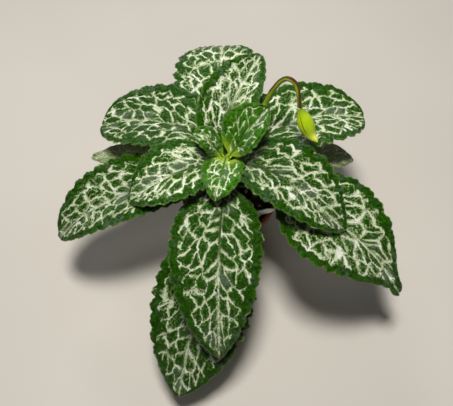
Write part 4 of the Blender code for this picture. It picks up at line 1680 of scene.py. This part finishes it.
@dataclass
class Soil:
    """The potting mix: a lumpy top with crumbs, round the crown's hole."""

    top: float = 45.5
    bump: float = 1.1  # height of its slow waves
    lump: float = 1.7
    grit: float = 0.7
    edge_dip: float = 1.2  # how far the top falls at the wall
    hole_dip: float = 0.7  # how far it falls at the crown
    wall_radius: float = 28.2
    base_radius: float = 18.95
    base_z: float = 2.35
    hole: float = 5.35
    hole_z: float = 32.65
    around: int = 220
    rows: int = 66
    crumbs: int = 420
    crumb_around: int = 6

    def height(self, x: np.ndarray, y: np.ndarray) -> np.ndarray:
        """Height of the top: the CAD node's slow waves, with lumps and grit on them.

        Args:
            x: Places to the right.
            y: Places to the back.

        Returns:
            One height for each place.
        """
        waves = (
            np.sin(x * 0.55 + 1.3 * np.sin(y * 0.31))
            + np.sin(y * 0.62 + 1.1 * np.sin(x * 0.37 + 2.0))
            + 0.6 * np.sin(x * 1.1 + y * 0.9)
        )
        lumps = rough_noise(x + 50, y + 50, 3.2, 5) - 0.5
        grit = rough_noise(x + 90, y + 20, 1.1, 6) - 0.5
        return self.top + waves * self.bump / 2.6 + lumps * self.lump + grit * self.grit

    def build(self) -> bpy.types.Object:
        """One closed shell: hole, top, wall and base rings, and crumbs lying on the top.

        Returns:
            The piece.
        """
        r = np.linspace(self.hole, self.wall_radius, self.rows)
        flat = r[:, None, None] * circle(turns(self.around))
        sides = 1 - held((self.wall_radius - r) / 2.0)[:, None]
        z = self.height(flat[..., 0], flat[..., 1]) - self.edge_dip * sides**2
        z = z - self.hole_dip * hump(r - self.hole, 1.2)[:, None]
        inside = [(self.hole, self.hole_z)]
        outside = [
            (self.wall_radius, self.top - 3.5),
            (self.base_radius + 1.0, self.base_z + 1.2),
            (self.base_radius, self.base_z),
        ]
        inner, outer = (turned(np.array(part), self.around) for part in (inside, outside))
        rings = np.concatenate([inner, np.concatenate([flat, z[..., None]], -1), outer])
        points, faces = tube(rings, [[0, 0, self.hole_z], [0, 0, self.base_z]])
        crumb_points, crumb_faces, kind = self.crumb_mesh(len(points))
        mark = np.zeros((len(points) + len(kind), 3))
        mark[len(points):, 0] = kind
        points, faces = np.concatenate([points, crumb_points]), [*faces, crumb_faces]
        piece = mesh_object("soil_bed", points, faces, {"crumb": mark})
        return dress(piece, self.mix(), "soil")

    def crumb_mesh(self, first: int) -> tuple[np.ndarray, np.ndarray, np.ndarray]:
        """Crumbs: small six-sided lumps of uneven size, half sunk in the top.

        Args:
            first: Number of the first point.

        Returns:
            Points, triangles, and for each point the crumb's kind from 0 to 1.
        """
        rng = np.random.default_rng(7)
        count, around = self.crumbs, self.crumb_around
        r = np.sqrt(rng.uniform(0.07, 0.92, count)) * self.wall_radius
        x, y = r * circle(rng.uniform(0, 2 * math.pi, count)).T
        size = rng.gamma(3.0, 0.22, count).clip(0.25, 1.6)
        centre = np.stack([x, y, self.height(x, y) + size * 0.15], -1)
        tilt = np.array([-1, 1]) * math.pi / 6
        bands = turned(np.stack([np.cos(tilt), np.sin(tilt)], -1), around)
        shape = np.concatenate([[-UP], bands.reshape(-1, 3), [UP]])
        wobble = rng.uniform(0.7, 1.25, (count, len(shape), 1))
        stretch = rng.uniform(0.7, 1.3, (count, 1, 3))
        points = centre[:, None] + shape * wobble * stretch * size[:, None, None]
        low = 1 + np.arange(around)
        high = low + around
        low_on, high_on = np.roll(low, -1), np.roll(high, -1)
        corners = (
            (np.zeros_like(low), low_on, low),
            (low, low_on, high_on),
            (low, high_on, high),
            (np.full_like(low, len(shape) - 1), high, high_on),
        )
        faces = np.concatenate([np.stack(three, -1) for three in corners])
        index = first + np.arange(count)[:, None, None] * len(shape) + faces
        kind = np.repeat(rng.uniform(0.0, 1.0, count), len(shape))
        return points.reshape(-1, 3), index.reshape(-1, 3), kind

    def mix(self) -> bpy.types.Material:
        """Dark peat with brown fibre, and a few pale mineral crumbs.

        Returns:
            The material.
        """
        kit = NodeTree("potting_mix")
        kind, _, _ = kit.marks("crumb")
        at = kit.place()
        cloud = kit.grain(at, 260.0, 5.0)
        peat = kit.turn(cloud, 0.35, 0.7, (0.010, 0.006, 0.004), (0.045, 0.026, 0.013))
        brown = kit.turn(cloud, 0.3, 0.7, (0.05, 0.028, 0.014), (0.12, 0.07, 0.035))
        colour = kit.turn(kind, 0.62, 0.70, peat, brown)
        return kit.surface(
            Base_Color=kit.turn(kind, 0.965, 0.97, colour, (0.42, 0.38, 0.32)),
            Roughness=0.92,
            Normal=kit.grit(at, 1400.0, 5.0, 0.0006),
        )


@dataclass
class Label:
    """The bare white strip pushed slantwise into the soil."""

    width: float = 5.5
    thick: float = 0.8
    foot: Place = (-6.0, -17.0, 37.2)
    end: Place = (29.5, -17.0, 59.3)
    point: float = 5.0
    round_off: float = 0.22
    rows: int = 90

    def build(self) -> bpy.types.Object:
        """The strip: a rounded oblong section carried along, narrowing to a blunt point.

        Returns:
            The piece.
        """
        foot, end = np.array(self.foot), np.array(self.end)
        along = unit(end - foot)
        flat = unit(np.cross(along, UP))
        across = np.cross(flat, along)
        length = float(np.linalg.norm(end - foot))
        u = length * np.linspace(0.0, 1.0, self.rows) ** 0.9
        half = self.width / 2 * (0.15 + 0.85 * held((length - u) / self.point))
        half[0] -= self.round_off
        thick = np.full_like(u, self.thick / 2)
        thick[[0, -1]] -= self.round_off * 0.6
        corner = np.stack([half, thick], -1)[:, None]
        bulge = np.arange(5) * math.pi / 8
        quarter = np.stack([np.sin(bulge) - 1, np.cos(bulge) - 1], -1) * self.round_off
        section = np.concatenate([
            (corner + quarter[::step]) * sign
            for sign, step in (((1, 1), 1), ((1, -1), -1), ((-1, -1), 1), ((-1, 1), -1))
        ], 1)
        rings = foot + along * u[:, None, None] + across * section[..., :1] + flat * section[..., 1:]
        piece = mesh_object("label_strip", *tube(rings, rings[[0, -1]].mean(1)))
        return dress(piece, self.plastic(), "label")

    def plastic(self) -> bpy.types.Material:
        """White plastic with faint scratches and soil marks near its foot.

        Returns:
            The material.
        """
        kit = NodeTree("label_plastic")
        at = kit.place()
        cloud = kit.grain(at, 160.0, 4.0)
        white = kit.turn(cloud, 0.35, 0.7, (0.95, 0.95, 0.94), (0.90, 0.90, 0.87))
        dirt = kit.times(kit.ease(kit.height(at), 0.050, 0.044), kit.ease(cloud, 0.4, 0.6))
        return kit.surface(
            Base_Color=kit.blend(dirt, white, (0.10, 0.07, 0.045)),
            Roughness=kit.span(kit.grain(at, 900.0, 4.0), 0.25, 0.5),
            Normal=kit.grit(at, 1500.0, 2.0, 0.00003),
        )


@dataclass(frozen=True)
class Lamp:
    """A square soft light that faces the plant; lengths are metres."""

    name: str
    at: Place
    side: float
    power: float  # in watts
    tint: Colour
    shine: bool  # whether glossy surfaces mirror it


@dataclass
class Studio:
    """The pale floor, the soft lights and the camera."""

    lamps: tuple[Lamp, ...] = (
        Lamp("window", (-0.25, 0.95, 0.75), 0.34, 3.2, (0.97, 0.98, 1.0), True),
        Lamp("overhead", (-0.03, 0.03, 0.95), 0.20, 10.2, (1.0, 0.985, 0.95), False),
        Lamp("front", (-0.10, -0.45, 0.85), 0.30, 0.55, (1.0, 0.99, 0.97), False),
    )
    aim: float = 0.06  # height that the lamps face, in metres
    sky: Colour = (0.95, 0.97, 1.0)
    sky_power: float = 0.038
    floor_side: float = 3.0  # in metres
    floor_level: float = -0.2
    camera_at: Place = (-0.002, -0.18233, 0.37788)  # in metres
    camera_tilt: float = 28.0  # degrees up from straight down
    focal_pixels: float = 560.0
    frame_width: float = 453.0
    sensor: float = 36.0

    def build(self) -> None:
        """Adds the floor, lights, world and camera."""
        self.add_floor()
        for lamp in self.lamps:
            self.add_light(lamp)
        scene = bpy.context.scene
        scene.view_settings.view_transform = "Standard"
        scene.world = bpy.data.worlds.new("studio")
        scene.world.use_nodes = True
        background = scene.world.node_tree.nodes["Background"]
        background.inputs[0].default_value = (*self.sky, 1.0)
        background.inputs[1].default_value = self.sky_power
        data = bpy.data.cameras.new("camera")
        data.sensor_width = self.sensor
        data.lens = self.focal_pixels * self.sensor / self.frame_width
        data.clip_start = 0.01
        scene.camera = bpy.data.objects.new("camera", data)
        scene.camera.location = self.camera_at
        scene.camera.rotation_euler = (math.radians(self.camera_tilt), 0.0, 0.0)
        scene.collection.objects.link(scene.camera)

    def add_floor(self) -> None:
        """A level pale sheet under the pot."""
        corners = np.array([(-1, -1), (1, -1), (1, 1), (-1, 1)]) * self.floor_side / 2 / MM
        points = np.concatenate([corners, np.full((4, 1), self.floor_level)], -1)
        floor = mesh_object("floor", points, [np.array([[0, 1, 2, 3]])])
        kit = NodeTree("floor_paint")
        cloud = kit.grain(kit.place(), 3.0, 3.0)
        colour = kit.turn(cloud, 0.3, 0.7, (0.50, 0.465, 0.415), (0.54, 0.505, 0.455))
        floor.data.materials.append(kit.surface(Base_Color=colour, Roughness=0.7))

    def add_light(self, lamp: Lamp) -> None:
        """Adds one lamp, turned to face the plant.

        Args:
            lamp: The lamp.
        """
        data = bpy.data.lights.new(lamp.name, "AREA")
        data.size = lamp.side
        data.energy = lamp.power
        data.color = lamp.tint
        light = bpy.data.objects.new(lamp.name, data)
        light.location = lamp.at
        light.visible_glossy = lamp.shine
        x, y, z = lamp.at
        tilt = math.atan2(math.hypot(x, y), z - self.aim)
        light.rotation_euler = (tilt, 0.0, math.atan2(y, x) + math.pi / 2)
        bpy.context.scene.collection.objects.link(light)


def main() -> None:
    """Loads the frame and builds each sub-assembly in order."""
    logging.basicConfig(level=logging.INFO, format="%(name)s: %(message)s")
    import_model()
    Studio().build()
    for assembly in (Pot(), Soil(), Label(), CROWN, FlowerStem(), FlowerBud()):
        piece = assembly.build()
        log.info("%s: %d points", piece.name, len(piece.data.vertices))
    pieces = Foliage().build()
    log.info("%d leaves", len(pieces))


if __name__ == "__main__":
    main()
